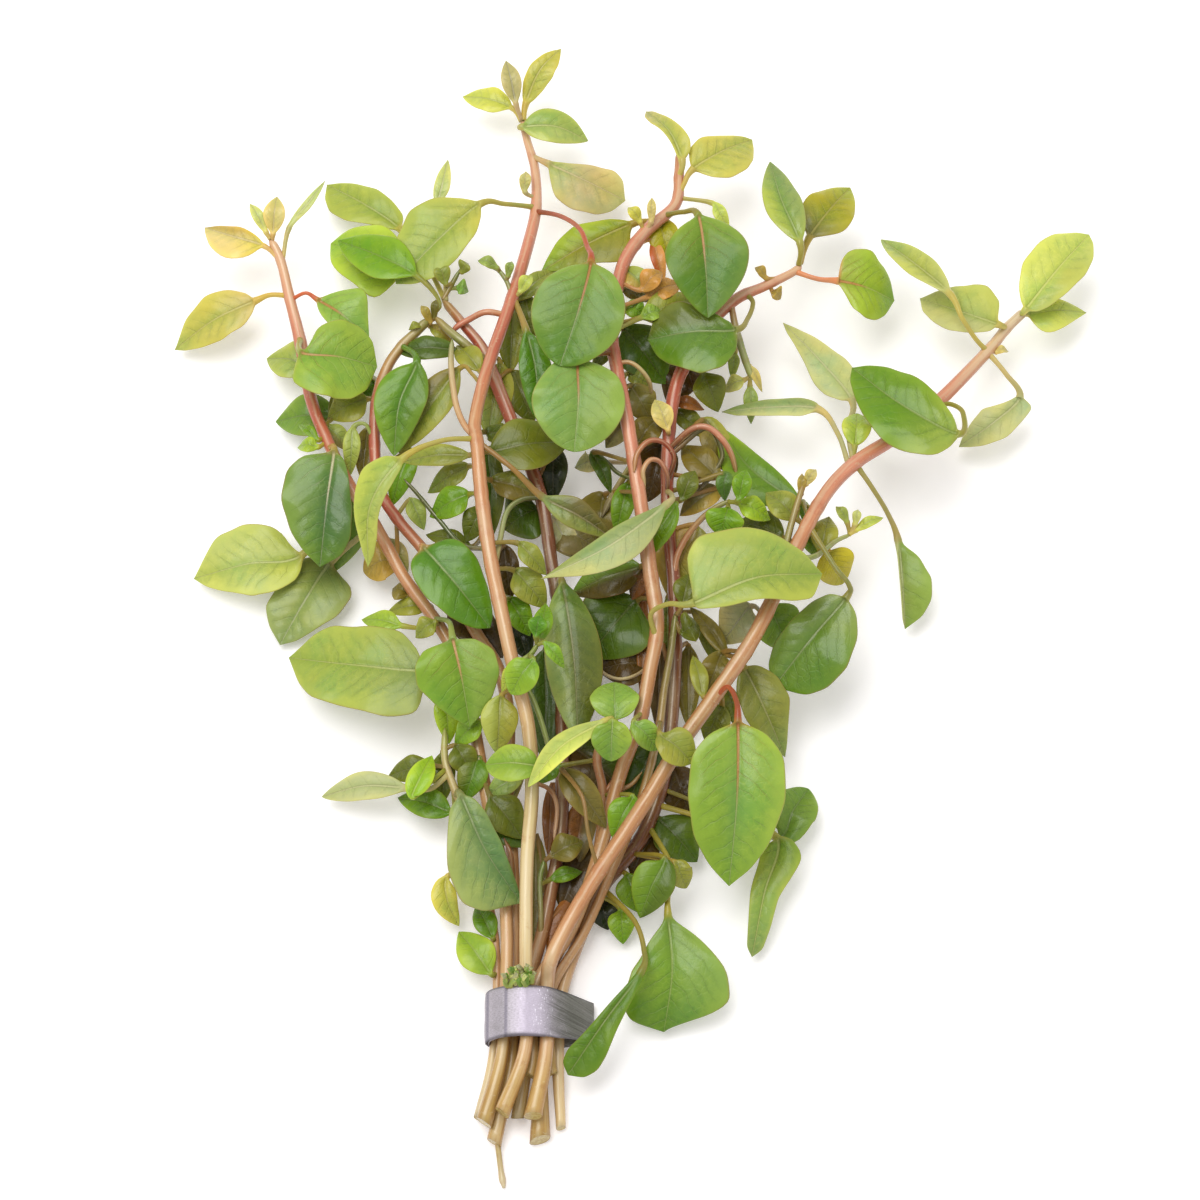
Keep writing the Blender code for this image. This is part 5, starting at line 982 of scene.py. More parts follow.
print(sum(map(len, LEAVES.values())), "large leaves,", sum(map(len, SMALL_LEAVES.values())), "small ones")

# %% [markdown]
# ## The line of a leaf
# A leaf follows one curve from its stem through the bends of its stalk, along the midrib to the
# tip. The blade is then hung on that curve. A stalk leaves its stem square to it, so the first
# piece of the curve is turned that way.

# %% Stalk and midrib as one curve
LINE_STEPS = 10
LOWEST_MIDRIB = 0.33
STALK_SUNK = 0.6
SQUARE_TO_STEM = 0.5
STALK_SPRING = 0.4
STALK_RISE = 1.0


def place_on(stem_grown, at, slide):
    """Where a stalk leaves its stem: the axis point, the stem's direction and its radius."""
    curve, along = stem_grown["curve"], stem_grown["along"]
    seen = to_photo(curve)
    k = int(np.argmin(np.hypot(seen[:, 0] - at[0], seen[:, 1] - at[1])))
    k = int(np.argmin(np.abs(along - along[k] - slide)))
    k = min(max(k, 1), len(curve) - 2)
    stem_grown["joints"].append(along[k])
    return curve[k], unit(curve[k + 1] - curve[k - 1]), stem_grown["thin"][k]


def stalk_bends(spec, from_height, to_height):
    """The bends of a stalk. One without a height of its own lies a little over the straight way."""
    points = []
    for i, spot in enumerate(spec.via):
        share = (i + 1) / (len(spec.via) + 1)
        height = from_height + (to_height - from_height) * share + STALK_RISE
        if len(spot) > 2:
            height = spot[2] + spec.lift * share
        points.append(from_photo(spot[0], spot[1], height))
    return points


def leaf_line(spec, stem):
    """The curve from the root of the stalk to the tip, and the step where the blade starts."""
    axis, direction, radius = place_on(grown[stem], spec.at, spec.slide)
    base = from_photo(spec.base[0], spec.base[1], spec.base[2] + spec.lift)
    tip = from_photo(spec.tip[0], spec.tip[1], spec.tip[2] + spec.lift)
    points = stalk_bends(spec, axis[2], base[2])
    first = points[0] if points else base
    out = first - axis
    out = unit(out - SQUARE_TO_STEM * direction * (out @ direction))
    start = axis + out * radius * STALK_SUNK
    before = start - out * STALK_SPRING * np.linalg.norm(first - start)
    middle = (base + tip) / 2
    sideways = unit(np.cross(UP, tip - base))
    pixel = np.linalg.norm(to_photo(middle + sideways) - to_photo(middle))
    middle = middle + sideways * spec.bow / pixel + UP * spec.arch
    line = smooth([start] + points + [base, middle, tip], LINE_STEPS, before)
    line[:, 2] = np.maximum(line[:, 2], LOWEST_MIDRIB)
    return line, LINE_STEPS * (len(points) + 1)


print("steps between two points of a leaf:", LINE_STEPS)

# %% How wide a blade is along its length
FOOT_TAPER, FOOT_NARROWS = 0.05, 0.75


def blade_width(shape, t):
    """Half the width of a blade as a share of its widest, from foot 0 to tip 1."""
    widest, foot, tip = shape
    narrow_foot = 1 - FOOT_NARROWS * np.exp(-((t / FOOT_TAPER) ** 1.5))
    lower = np.sin(np.pi / 2 * np.clip(t / widest, 0, 1)) ** foot * narrow_foot
    upper = np.maximum(np.cos(np.pi / 2 * np.clip((t - widest) / (1 - widest), 0, 1)), 0.0) ** tip
    return np.where(t < widest, lower, upper)


def softened(widths, rounds=2):
    """Rounds the corners of a drawn outline, and leaves its two ends."""
    for _ in range(rounds):
        inside = (widths[:-2] + 2 * widths[1:-1] + widths[2:]) / 4
        widths = np.concatenate([widths[:1], inside, widths[-1:]])
    return widths


def side_widths(spec, t):
    """The blade's width in pixels to the left and to the right of its midrib."""
    if not spec.sides:
        whole = spec.wide * blade_width(spec.shape, t)
        return whole * spec.share, whole * (1 - spec.share)
    drawn = np.array([(0, 0, 0), *spec.sides, (1, 0, 0)], float)
    return [softened(np.interp(t, drawn[:, 0], drawn[:, k])) for k in (1, 2)]


print("an oval leaf at its middle:", blade_width(SHAPES["ovate"], np.array([0.5])).round(2))

# %% [markdown]
# ## The blade itself
# A real blade is a third of a millimetre thick. Its midrib is a groove above and a ridge below,
# the skin swells between the side veins, and the rim waves a little. All of that is built into
# the points of the mesh, so that it holds from every side: rings of points are laid round the
# curve, round like a stalk at first and flat like a blade later, and joined ring to ring. One
# closed skin comes out, with no seam between stalk and blade.

# %% Stations along the curve, and the directions at each
LARGE_GRID, SMALL_GRID, NARROW_GRID = (21, 44), (11, 22), (7, 16)
NARROW_LEAF = 20
LOOK_AHEAD = 0.8
LEAST_FLAT = 0.25


def grid_of(spec, small):
    """How many columns and rows of points a blade gets."""
    if small and spec.wide < NARROW_LEAF:
        return NARROW_GRID
    return SMALL_GRID if small else LARGE_GRID


def at_steps(line, where):
    """The points of a curve at whole and broken steps."""
    return np.stack([np.interp(where, np.arange(len(line)), line[:, k]) for k in range(3)], axis=1)


def directions_at(line, foot, places):
    """At each station: the directions across the blade and straight off it."""
    ahead, behind = np.minimum(places + LOOK_AHEAD, len(line) - 1), np.maximum(places - LOOK_AHEAD, 0)
    along = unit(at_steps(line, ahead) - at_steps(line, behind))
    # Where the curve stands upright, the blade's own direction says which way is across
    flat = along * (1, 1, 0)
    upright = np.maximum(LEAST_FLAT - np.linalg.norm(flat, axis=1, keepdims=True), 0) / LEAST_FLAT
    side = unit(np.cross(UP, flat + upright * unit((line[-1] - line[foot]) * (1, 1, 0))))
    return side, unit(np.cross(along, side))


print("points of a large blade:", LARGE_GRID[0] * LARGE_GRID[1] * 2)

# %% Swells, groove and waves, in mm
BLADE_THICKNESS = 0.34
GROOVE_DEPTH, GROOVE_WIDTH = 0.20, 0.55
RIDGE_DEPTH, RIDGE_WIDTH = 0.34, 0.42
VEINS_IN_BLADE, LEAST_VEIN_SPACING, VEIN_SPACING = 6.5, 0.8, 2.9
VEIN_LEAN, VEIN_CURVE, VEIN_OTHER_SIDE = 0.62, 0.035, 0.35
SWELL, RIM_WAVE, WAVY_WIDTH = 0.07, 0.05, 8.0
CUP_DOWN, CUP_UP = 0.07, 0.035


def vein_phase(across, half, along_mm, spacing):
    """A count of side veins: each whole number is one vein, leaning out and up from the midrib."""
    x = np.abs(across) * half
    shifted = np.where(across > 0, VEIN_OTHER_SIDE, 0.0)
    return (along_mm - VEIN_LEAN * x - VEIN_CURVE * x * x) / spacing + shifted


def relief(across, half, t, length_mm, chance):
    """How far the whole skin, the groove above and the ridge below lie off the flat blade."""
    out, x = np.abs(across), across * half
    wave_count = chance.uniform(1.6, 2.8)
    turn = chance.uniform(0, 2 * np.pi, 2)
    waviness = RIM_WAVE * np.minimum(half, WAVY_WIDTH) * out ** 2.5
    waves = waviness * np.sin(2 * np.pi * wave_count * t + np.where(across > 0, turn[0], turn[1]))
    cup = -CUP_DOWN * half * (across ** 2) + CUP_UP * half * np.sin(np.pi * out)
    spacing = np.clip(length_mm / VEINS_IN_BLADE, LEAST_VEIN_SPACING, VEIN_SPACING)
    swell_room = np.sin(np.pi * np.clip(out, 0, 1)) * np.sin(np.pi * np.clip(t, 0, 1)) ** 0.5
    phase = vein_phase(across, half, t * length_mm, spacing)
    swells = -SWELL * spacing / VEIN_SPACING * np.cos(2 * np.pi * phase) * swell_room
    groove = -GROOVE_DEPTH * np.exp(-((x / GROOVE_WIDTH) ** 2)) * (1 - t) ** 0.6
    ridge = -RIDGE_DEPTH * np.exp(-((x / RIDGE_WIDTH) ** 2)) * (1 - 0.9 * t)
    return waves + cup + swells, groove, ridge


print("blade thickness, mm", BLADE_THICKNESS)

# %% Colours over a leaf
DEEPER = np.array([1.34, 1.28, 0.98])
SIDE_EDGE, SIDE_STRENGTH = (-0.15, 0.45), 0.85
END_STRENGTH = 0.8
SMALL_RIB_PALE, LARGE_RIB_PALE = 0.12, 0.24


def leaf_tint(spec, t, on_stalk, across, small, chance):
    """The colour at each point: the leaf's own, led over to its foot, tip and sides."""
    def blend(base, other, weight):
        return base if other is None else base + (other - base) * weight[..., None]

    t = t[:, None] + 0 * across
    across = across + 0 * t
    colour = np.broadcast_to(spec.tint, t.shape + (3,))
    colour = blend(colour, spec.left, soft_step(across, *SIDE_EDGE) * SIDE_STRENGTH)
    colour = blend(colour, spec.right, soft_step(-across, *SIDE_EDGE) * SIDE_STRENGTH)
    colour = blend(colour, spec.foot, END_STRENGTH * (1 - soft_step(t, 0.0, 0.5)))
    colour = blend(colour, spec.end, END_STRENGTH * soft_step(t, 0.55, 1.0))
    colour = colour * chance.uniform(0.94, 1.06) * (DEEPER if small else 1.0)
    stalk_colour = spec.tint * 0.65 + AMBER * 0.35 if spec.stalk is None else spec.stalk
    near_foot = np.where(on_stalk[:, None], 1.0, (1 - soft_step(t, 0.0, 0.08)) * 0.7)
    return colour + (stalk_colour - colour) * near_foot[..., None]


def rib_tint(spec, t, small):
    """The midrib's colour along the leaf: its own near the foot, a paler leaf colour farther on."""
    pale = spec.tint + (SMALL_RIB_PALE if small else LARGE_RIB_PALE) * (CREAM - spec.tint)
    foot = pale if spec.rib is None else spec.rib
    return foot + (pale - foot) * soft_step(t, 0.3, 0.6)[:, None]


print("a deeper tint is", DEEPER)

# %% Rings of points to faces
def tube_faces(rings, count):
    """Faces of a closed tube: the sides between its rings, and a cap on each end."""
    first = np.arange(count)
    after = np.roll(first, -1)
    faces = [tuple(int(k) for k in first[::-1])]
    for r in range(rings - 1):
        low, high = r * count, (r + 1) * count
        quads = np.stack([low + first, low + after, high + after, high + first], 1)
        faces += [tuple(quad) for quad in quads.tolist()]
    faces.append(tuple(int(k) for k in (rings - 1) * count + first))
    return faces


print("faces of a small tube:", len(tube_faces(3, 8)))

# %% One leaf, from stalk to tip
LARGE_STALK_RADIUS, SMALL_STALK_RADIUS = 0.48, 0.36
LARGE_STALK_STEP, SMALL_STALK_STEP = 1.25, 2
INNER_REACH, RIM_REACH = 0.95, 0.985
ROOT_FLARE, WING, WING_LENGTH = 0.35, 0.7, 3.5
UPPER_CLEARANCE = 0.30


def leaf_radius(places, foot, t, on_stalk, stalk_radius):
    """The stalk's radius: flared at its root, winged at the blade, thin towards the tip."""
    wing = WING * np.exp(-np.abs(foot - places) / WING_LENGTH)
    stalk = 1 + ROOT_FLARE * np.exp(-places / 2.5) + wing
    return stalk_radius * np.where(on_stalk, stalk, (1 - 0.9 * t) * (1 + wing))


def leaf_shape(spec, stem, small):
    """Points, faces and colour notes of one leaf."""
    chance = np.random.default_rng(sum(map(ord, spec.name)))
    line, foot = leaf_line(spec, stem)
    stalk_radius = SMALL_STALK_RADIUS if small else LARGE_STALK_RADIUS
    inner_columns, rows = grid_of(spec, small)
    last = len(line) - 1
    stalk_rows = np.arange(0, foot, SMALL_STALK_STEP if small else LARGE_STALK_STEP)
    blade_t = (1 - np.cos(np.pi * np.linspace(0, 1, rows) ** 0.9)) / 2
    places = np.concatenate([stalk_rows, foot + (last - foot) * blade_t])
    t = np.clip((places - foot) / (last - foot), 0, 1)
    on_stalk = places < foot
    centre = at_steps(line, places)
    side, normal = directions_at(line, foot, places)
    length_mm = lengths_along(line)[-1] - lengths_along(line)[foot]
    seen = np.linalg.norm(to_photo(centre + side) - to_photo(centre), axis=1)
    left, right = (np.where(on_stalk, 0.0, width / seen) for width in side_widths(spec, t))
    radius = leaf_radius(places, foot, t, on_stalk, stalk_radius)
    flatness = soft_step((left + right) / 2, 0.5 * stalk_radius, 3.5 * stalk_radius)
    flatness = np.where(t > 0.5, 1.0, np.where(on_stalk, 0.0, flatness))

    # Two columns close to each rim keep the thin edge from shading the blade
    spread = np.linspace(-1, 1, inner_columns)
    inner = INNER_REACH * np.sign(spread) * np.abs(spread) ** 1.15
    across = np.concatenate([[-1, -RIM_REACH], inner, [RIM_REACH, 1]])
    half = np.hypot(np.where(across > 0, left[:, None], right[:, None]), radius[:, None])
    shared, groove, ridge = relief(across, half, t[:, None], length_mm, chance)
    inside = flatness[:, None]
    thin_rim = np.sqrt(np.maximum(1 - np.abs(across) ** 5, 0.0))
    rim = BLADE_THICKNESS / 2 * thin_rim
    round_rim = (1 - inside) * radius[:, None] * np.sqrt(np.maximum(1 - across ** 2, 0.0))
    bend = inside * half * (spec.fold * np.abs(across) + spec.roll * across)
    middle = centre[:, None, :] + side[:, None, :] * (across * half)[..., None] + UP * bend[..., None]

    def surface(level):
        return middle + normal[:, None, :] * (inside * shared + level)[..., None]

    upper = surface(inside * (rim + groove) + round_rim)
    lower = surface(inside * (-rim + ridge * thin_rim) - round_rim)[:, -2:0:-1]
    upper[..., 2] = np.maximum(upper[..., 2], TABLE_CLEARANCE + UPPER_CLEARANCE)
    lower[..., 2] = np.maximum(lower[..., 2], TABLE_CLEARANCE)
    points = np.concatenate([upper, lower], axis=1)

    shape, t_rows = points.shape[:2], t[:, None]
    ring_across = np.concatenate([across, across[-2:0:-1]])
    ring_half = np.concatenate([half, half[:, -2:0:-1]], axis=1)
    above = np.concatenate([np.ones(len(across)), -np.ones(len(across) - 2)])
    above[[0, len(across) - 1]] = 0.0
    notes = {
        "tint": leaf_tint(spec, t, on_stalk, ring_across, small, chance).reshape(-1, 3),
        "rib": np.repeat(rib_tint(spec, t, small), shape[1], axis=0),
        "blade": notes_of(shape, ring_across, t_rows, ring_half),
        "grain": notes_of(shape, length_mm, above, inside),
    }
    return points.reshape(-1, 3), tube_faces(*shape), notes


print("stalk radius, mm", SMALL_STALK_RADIUS, "to", LARGE_STALK_RADIUS)

# %% [markdown]
# ## From points to pieces
# Numbers become an object in three steps: a mesh is filled with points and faces, the colour notes
# are kept on its points as attributes, and the mesh is linked into the scene. Many small leaves
# go into one mesh, because a scene with hundreds of loose objects is slow and hard to handle.

# %% Points and faces to an object in the frame
def facing_out(spots, faces):
    """The faces, turned so that they all look out of their closed skin."""
    volume = sum(float(np.dot(spots[f[0]], np.cross(spots[f[1]], spots[f[2]]))) for f in faces[1:-1])
    return [face[::-1] for face in faces] if volume < 0 else faces


def make_piece(name, shapes, material):
    """One mesh object of several closed skins, in metres, with their colour notes on its points."""
    points, faces, notes = [], [], {}
    start = 0
    for spots, sides, remarks in shapes:
        faces += [tuple(start + k for k in face) for face in facing_out(spots, sides)]
        points.append(spots)
        for key, value in remarks.items():
            notes.setdefault(key, []).append(value)
        start += len(spots)
    points = (np.vstack(points) + SHIFT) * METRES_PER_MM
    mesh = bpy.data.meshes.new(name)
    mesh.from_pydata(points.tolist(), [], faces)
    mesh.polygons.foreach_set("use_smooth", [True] * len(mesh.polygons))
    for key, parts in notes.items():
        values = np.vstack(parts).astype(np.float32)
        if key in ("tint", "rib"):
            layer = mesh.attributes.new(key, "FLOAT_COLOR", "POINT")
            opaque = np.ones((len(values), 1), np.float32)
            layer.data.foreach_set("color", np.hstack([values, opaque]).ravel())
        else:
            layer = mesh.attributes.new(key, "FLOAT_VECTOR", "POINT")
            layer.data.foreach_set("vector", values.ravel())
    mesh.materials.append(material)
    mesh.update()
    piece = bpy.data.objects.new(name, mesh)
    bpy.context.scene.collection.objects.link(piece)
    return piece


print("metres in a millimetre:", METRES_PER_MM)


# %% [markdown]
# ## A recipe for finishes
# A finish is a chain of small sums: where am I on the leaf, how near is a vein, how dark is the
# skin there. Blender's shader editor shows such a chain as boxes and wires. The small class below
# writes the boxes and wires from code, so that each finish reads as a list of steps.

# %% Steps of a finish
class Finish:
    """Adds shader steps by name and joins them up."""

    def __init__(self, name, roughness, **fixed):
        self.material = bpy.data.materials.new(name)
        self.material.use_nodes = True
        self.tree = self.material.node_tree
        self.shader = self.tree.nodes["Principled BSDF"]
        self.shader.inputs["Roughness"].default_value = roughness
        for socket, value in fixed.items():
            self.shader.inputs[socket.replace("_", " ")].default_value = value

    def step(self, kind, **sockets):
        """One box of the chain, with values or wires on its named sockets."""
        step = self.tree.nodes.new("ShaderNode" + kind)
        for name, value in sockets.items():
            self.feed(step.inputs[name], value)
        return step

    def feed(self, socket, value):
        """A wire where the value is another step's output, and a plain number or colour otherwise."""
        if isinstance(value, bpy.types.NodeSocket):
            self.tree.links.new(value, socket)
        elif np.ndim(value) and socket.type == "RGBA":
            socket.default_value = (*value, 1.0)
        else:
            socket.default_value = value

    def sum(self, operation, *values):
        step = self.step("Math")
        step.operation = operation
        for socket, value in zip(step.inputs, values):
            self.feed(socket, value)
        return step.outputs[0]

    def times(self, first, *others):
        for other in others:
            first = self.sum("MULTIPLY", first, other)
        return first

    def plus(self, first, *others):
        for other in others:
            first = self.sum("ADD", first, other)
        return first

    def distance(self, one, other):
        return self.sum("ABSOLUTE", self.sum("SUBTRACT", one, other))

    def between(self, value, low, high, start=0.0, end=1.0):
        """start below low, end above high, a smooth change between."""
        step = self.step("MapRange")
        step.interpolation_type = "SMOOTHSTEP"
        names = ("Value", "From Min", "From Max", "To Min", "To Max")
        for name, number in zip(names, (value, low, high, start, end)):
            self.feed(step.inputs[name], number)
        return step.outputs["Result"]

    def mix(self, factor, one, other, way="MIX"):
        step = self.step("Mix")
        step.data_type = "RGBA"
        step.blend_type = way
        colours = [socket for socket in step.inputs if socket.type == "RGBA"]
        self.feed(step.inputs["Factor"], factor)
        self.feed(colours[0], one)
        self.feed(colours[1], other)
        return next(socket for socket in step.outputs if socket.type == "RGBA")

    def stained(self, colour, stain):
        """A colour seen through a stain."""
        return self.mix(1.0, colour, stain, "MULTIPLY")

    def coats(self, colour, *coats):
        """Coats laid over a colour, one by one, each with how strongly it covers."""
        for cover, coat in coats:
            colour = self.mix(cover, colour, coat)
        return colour

    def note(self, name, output="Vector"):
        """A colour or a vector kept on the mesh's points."""
        step = self.step("Attribute")
        step.attribute_name = name
        return step.outputs[output]

    def parts(self, vector):
        return self.step("SeparateXYZ", Vector=vector).outputs

    def vector(self, x, y, z):
        return self.step("CombineXYZ", X=x, Y=y, Z=z).outputs[0]

    def place(self):
        """The point in the object's own space, in metres."""
        return self.step("TexCoord").outputs["Object"]

    def noise(self, where, scale, detail=3.0, roughness=0.55):
        step = self.step("TexNoise", Vector=where, Scale=scale, Detail=detail, Roughness=roughness)
        return step.outputs["Fac"]

    def cells(self, where, scale):
        """How far a point is from the edge of its cell, for a net of fine veins."""
        step = self.step("TexVoronoi")
        step.feature = "DISTANCE_TO_EDGE"
        self.feed(step.inputs["Vector"], where)
        self.feed(step.inputs["Scale"], scale)
        return step.outputs["Distance"]

    def finish(self, colour, roughness, height, relief, strength):
        """The last wires, into the shader. Without a roughness, the even one of the start stays."""
        self.feed(self.shader.inputs["Base Color"], colour)
        if roughness is not None:
            self.feed(self.shader.inputs["Roughness"], roughness)
        bump = self.step("Bump", Distance=relief, Strength=strength, Height=height)
        self.feed(self.shader.inputs["Normal"], bump.outputs["Normal"])
        return self.material


print("steps a finish can take:", sum(not name.startswith("_") for name in vars(Finish)))

# %% [markdown]
# ## The skin of a leaf
# Close up, a ludwigia leaf has a pale midrib, five or six pairs of side veins that curve towards
# the tip, a fine net between them, a thin lighter rim, and a thin wet gloss. The underside is
# paler and duller, with veins that stand out. The notes on the mesh's points say how far across
# and along the blade a point is, so the veins fit every leaf, long or round.

# %% Veins of a leaf
CLOUD, PATCH, SHADE = (110.0, 5.0, 0.65), (55.0, 3.0), (78.0, 4.0, 0.6)
VEIN_WOBBLE, VEIN_PRESENCE, NET_SCALE, FINE_SCALE = 170.0, 210.0, 800.0, 1300.0


def nearest_vein(f, across, x, t, length):
    """How far the nearest side vein is, in mm. These are the sums of vein_phase, as steps."""
    spacing = f.sum("MAXIMUM", f.sum("DIVIDE", length, VEINS_IN_BLADE), LEAST_VEIN_SPACING)
    spacing = f.sum("MINIMUM", spacing, VEIN_SPACING)
    lean = f.plus(f.times(x, VEIN_LEAN), f.times(x, x, VEIN_CURVE))
    shifted = f.between(across, -0.001, 0.001, 0.0, VEIN_OTHER_SIDE)
    wobble = f.times(f.sum("SUBTRACT", f.noise(f.place(), VEIN_WOBBLE, 2.0), 0.5), 1.1)
    phase = f.sum("DIVIDE", f.sum("SUBTRACT", f.times(t, length), lean), spacing)
    phase = f.plus(phase, shifted, wobble)
    off = f.distance(f.sum("FRACT", phase), 0.5)
    return f.times(f.sum("SUBTRACT", 0.5, off), spacing)


def rib_width(f, t, length):
    """Half the width of the midrib in mm: widest at the foot, finer in a short leaf."""
    width = f.plus(f.times(f.sum("SUBTRACT", 1.0, t), 0.26), 0.07)
    return f.times(width, f.between(length, 4.0, 15.0, 0.45, 1.0))


print("scale of the finest veins:", FINE_SCALE)

# %% Leaf skin
def leaf_skin(name, gloss=0.36, wet=0.25, vein=0.5, mottle=0.5):
    """Skin of a leaf: how dull it is, how wet, and how strongly its veins and clouds show."""
    f = Finish(name, gloss, Coat_Weight=wet, Coat_Roughness=0.14, Specular_IOR_Level=0.22)
    tint, rib = f.note("tint", "Color"), f.note("rib", "Color")
    across, t, half = f.parts(f.note("blade"))
    length, above, blade = f.parts(f.note("grain"))
    out = f.sum("ABSOLUTE", across)
    x = f.times(out, half)
    under = f.between(above, -0.05, 0.05, 1.0, 0.0)
    cloud, patch, shade = (f.noise(f.place(), *grain) for grain in (CLOUD, PATCH, SHADE))
    fine = f.noise(f.place(), FINE_SCALE)

    near = nearest_vein(f, across, x, t, length)
    presence = f.between(f.noise(f.place(), VEIN_PRESENCE, 2.0), 0.35, 0.65, 0.25, 1.0)
    fade = f.times(f.between(out, 0.55, 0.97, 1.0, 0.0), blade, presence)
    side_vein = f.times(f.between(near, 0.03, 0.20, 1.0, 0.0), fade)
    # Painted shade darkens the grooves beside the side veins, and a painted highlight lightens the swells
    # between them.
    side_shade = f.times(f.between(near, 0.10, 1.10, 1.0, 0.0), fade)
    swell_highlight = f.times(f.between(near, 0.5, 1.3), fade)
    midrib = f.times(f.between(f.sum("DIVIDE", x, rib_width(f, t, length)), 0.5, 1.3, 1.0, 0.0), blade)
    mid_shade = f.times(f.between(x, 0.2, 2.2, 1.0, 0.0), blade)
    net = f.times(f.between(f.cells(f.place(), NET_SCALE), 0.02, 0.16, 1.0, 0.0), fade)
    rim = f.times(f.between(out, 0.955, 0.99, 0.0, 0.6), blade)

    darker = f.stained(tint, (0.45, 0.65, 0.40))
    bluer = f.stained(tint, (0.60, 0.90, 0.88))
    lighter = f.mix(0.10, f.stained(tint, (1.42, 1.32, 1.02)), CITRUS)
    yellower = f.stained(tint, (1.22, 1.06, 0.62))
    colour = f.coats(
        tint,
        (f.between(cloud, 0.38, 0.64, 0.0, mottle), darker),
        (f.between(shade, 0.44, 0.66, 0.0, 0.6), bluer),
        (f.between(patch, 0.42, 0.66, 0.0, 0.75), yellower),
        (f.between(f.plus(cloud, f.times(out, 0.25)), 0.62, 0.85, 0.0, 0.6), lighter),
        (f.between(out, 0.62, 0.95, 0.0, 0.30), lighter),
        # painted highlight on the swells, then painted shade in the vein grooves
        (f.times(swell_highlight, 0.18 * vein), lighter),
        (f.times(side_shade, 0.28 * vein), darker),
        (f.times(mid_shade, 0.30), darker),
        (f.times(net, 0.10 + 0.15 * vein), lighter),
        (f.between(fine, 0.52, 0.78, 0.0, 0.30), lighter),
        (f.times(side_vein, 0.24 * vein), rib),
        (f.times(midrib, 0.62), rib),
        (rim, f.mix(0.35, tint, AMBER)),
    )
    colour = f.mix(f.times(under, 0.55), colour, f.mix(0.35, colour, STRAW))

    dip = f.times(f.plus(side_vein, f.times(midrib, 1.2)), f.between(above, -0.05, 0.05, 1.0, -1.0))
    height = f.plus(dip, f.times(net, -0.35), f.times(fine, 0.35), f.times(cloud, 1.2))
    rough = f.plus(f.between(cloud, 0.3, 0.7, gloss - 0.07, gloss + 0.08), f.times(under, 0.12))
    return f.finish(colour, rough, height, relief=0.00018, strength=0.62)


LEAF_SKINS = {
    "leaf_deep": leaf_skin("deep_green_leaf_skin", 0.30, 0.35, 0.5),
    "leaf_bright": leaf_skin("bright_green_leaf_skin", 0.34, 0.30, 0.7),
    "leaf_green": leaf_skin("fresh_green_leaf_skin", 0.38, 0.20, 0.55),
    "leaf_bluish": leaf_skin("bluish_leaf_skin", 0.33, 0.35, 0.7),
    "leaf_lime": leaf_skin("lime_leaf_skin", 0.40, 0.20, 0.6),
    "leaf_pale": leaf_skin("pale_underside_skin", 0.52, 0.08, 0.15, 0.20),
    "leaf_grey": leaf_skin("grey_underside_skin", 0.38, 0.30, 0.9),
    "leaf_olive": leaf_skin("olive_leaf_skin", 0.40, 0.20, 0.8),
    "leaf_bronze": leaf_skin("bronze_leaf_skin", 0.38, 0.25, 0.6),
    "leaf_pinkish": leaf_skin("pinkish_young_leaf_skin", 0.46, 0.12, 0.5),
    "leaf_yellow": leaf_skin("yellow_green_leaf_skin", 0.40, 0.20, 0.6),
}
young_skin = leaf_skin("small_leaf_skin")
print(len(LEAF_SKINS) + 1, "leaf finishes")

# %% [markdown]
# ## The skin of a stem
# A living stem is smooth and satin, salmon to red towards the light and tan near the cut. Streaks
# run along it with a painted highlight along its top, painted shade darkens its flanks, and small
# pale dots lie on it. At each node, where leaves grow, it is a little thicker and has a darker line.
# The cut shows pith.

# %% Stem skin
STREAK_STRETCH, SIDE_STRETCH = 0.05, 0.06
BLOTS, DOTS, PITH, HIGHLIGHT_WANDER = (260.0, 4.0, 0.7), (1500.0, 1.0), (1800.0, 2.0), (90.0, 3.0)


def painted_highlight_and_flank(f, round_x, round_y):
    """The painted highlight along the top, and how far round the stem a point lies: 0 on top, 1 at a side.
    """
    reach = f.sum("SQRT", f.plus(f.times(round_x, round_x), f.times(round_y, round_y)))
    turned = f.sum("DIVIDE", round_x, f.sum("MAXIMUM", reach, 0.05))
    wander = f.times(f.sum("SUBTRACT", f.noise(f.place(), *HIGHLIGHT_WANDER), 0.5), 1.2)
    off_highlight = f.sum("ABSOLUTE", f.plus(turned, 0.12, wander))
    crest_highlight = f.times(f.between(off_highlight, 0.02, 0.34, 1.0, 0.0), f.between(round_y, 0.0, 0.3))
    return crest_highlight, f.sum("ABSOLUTE", turned)


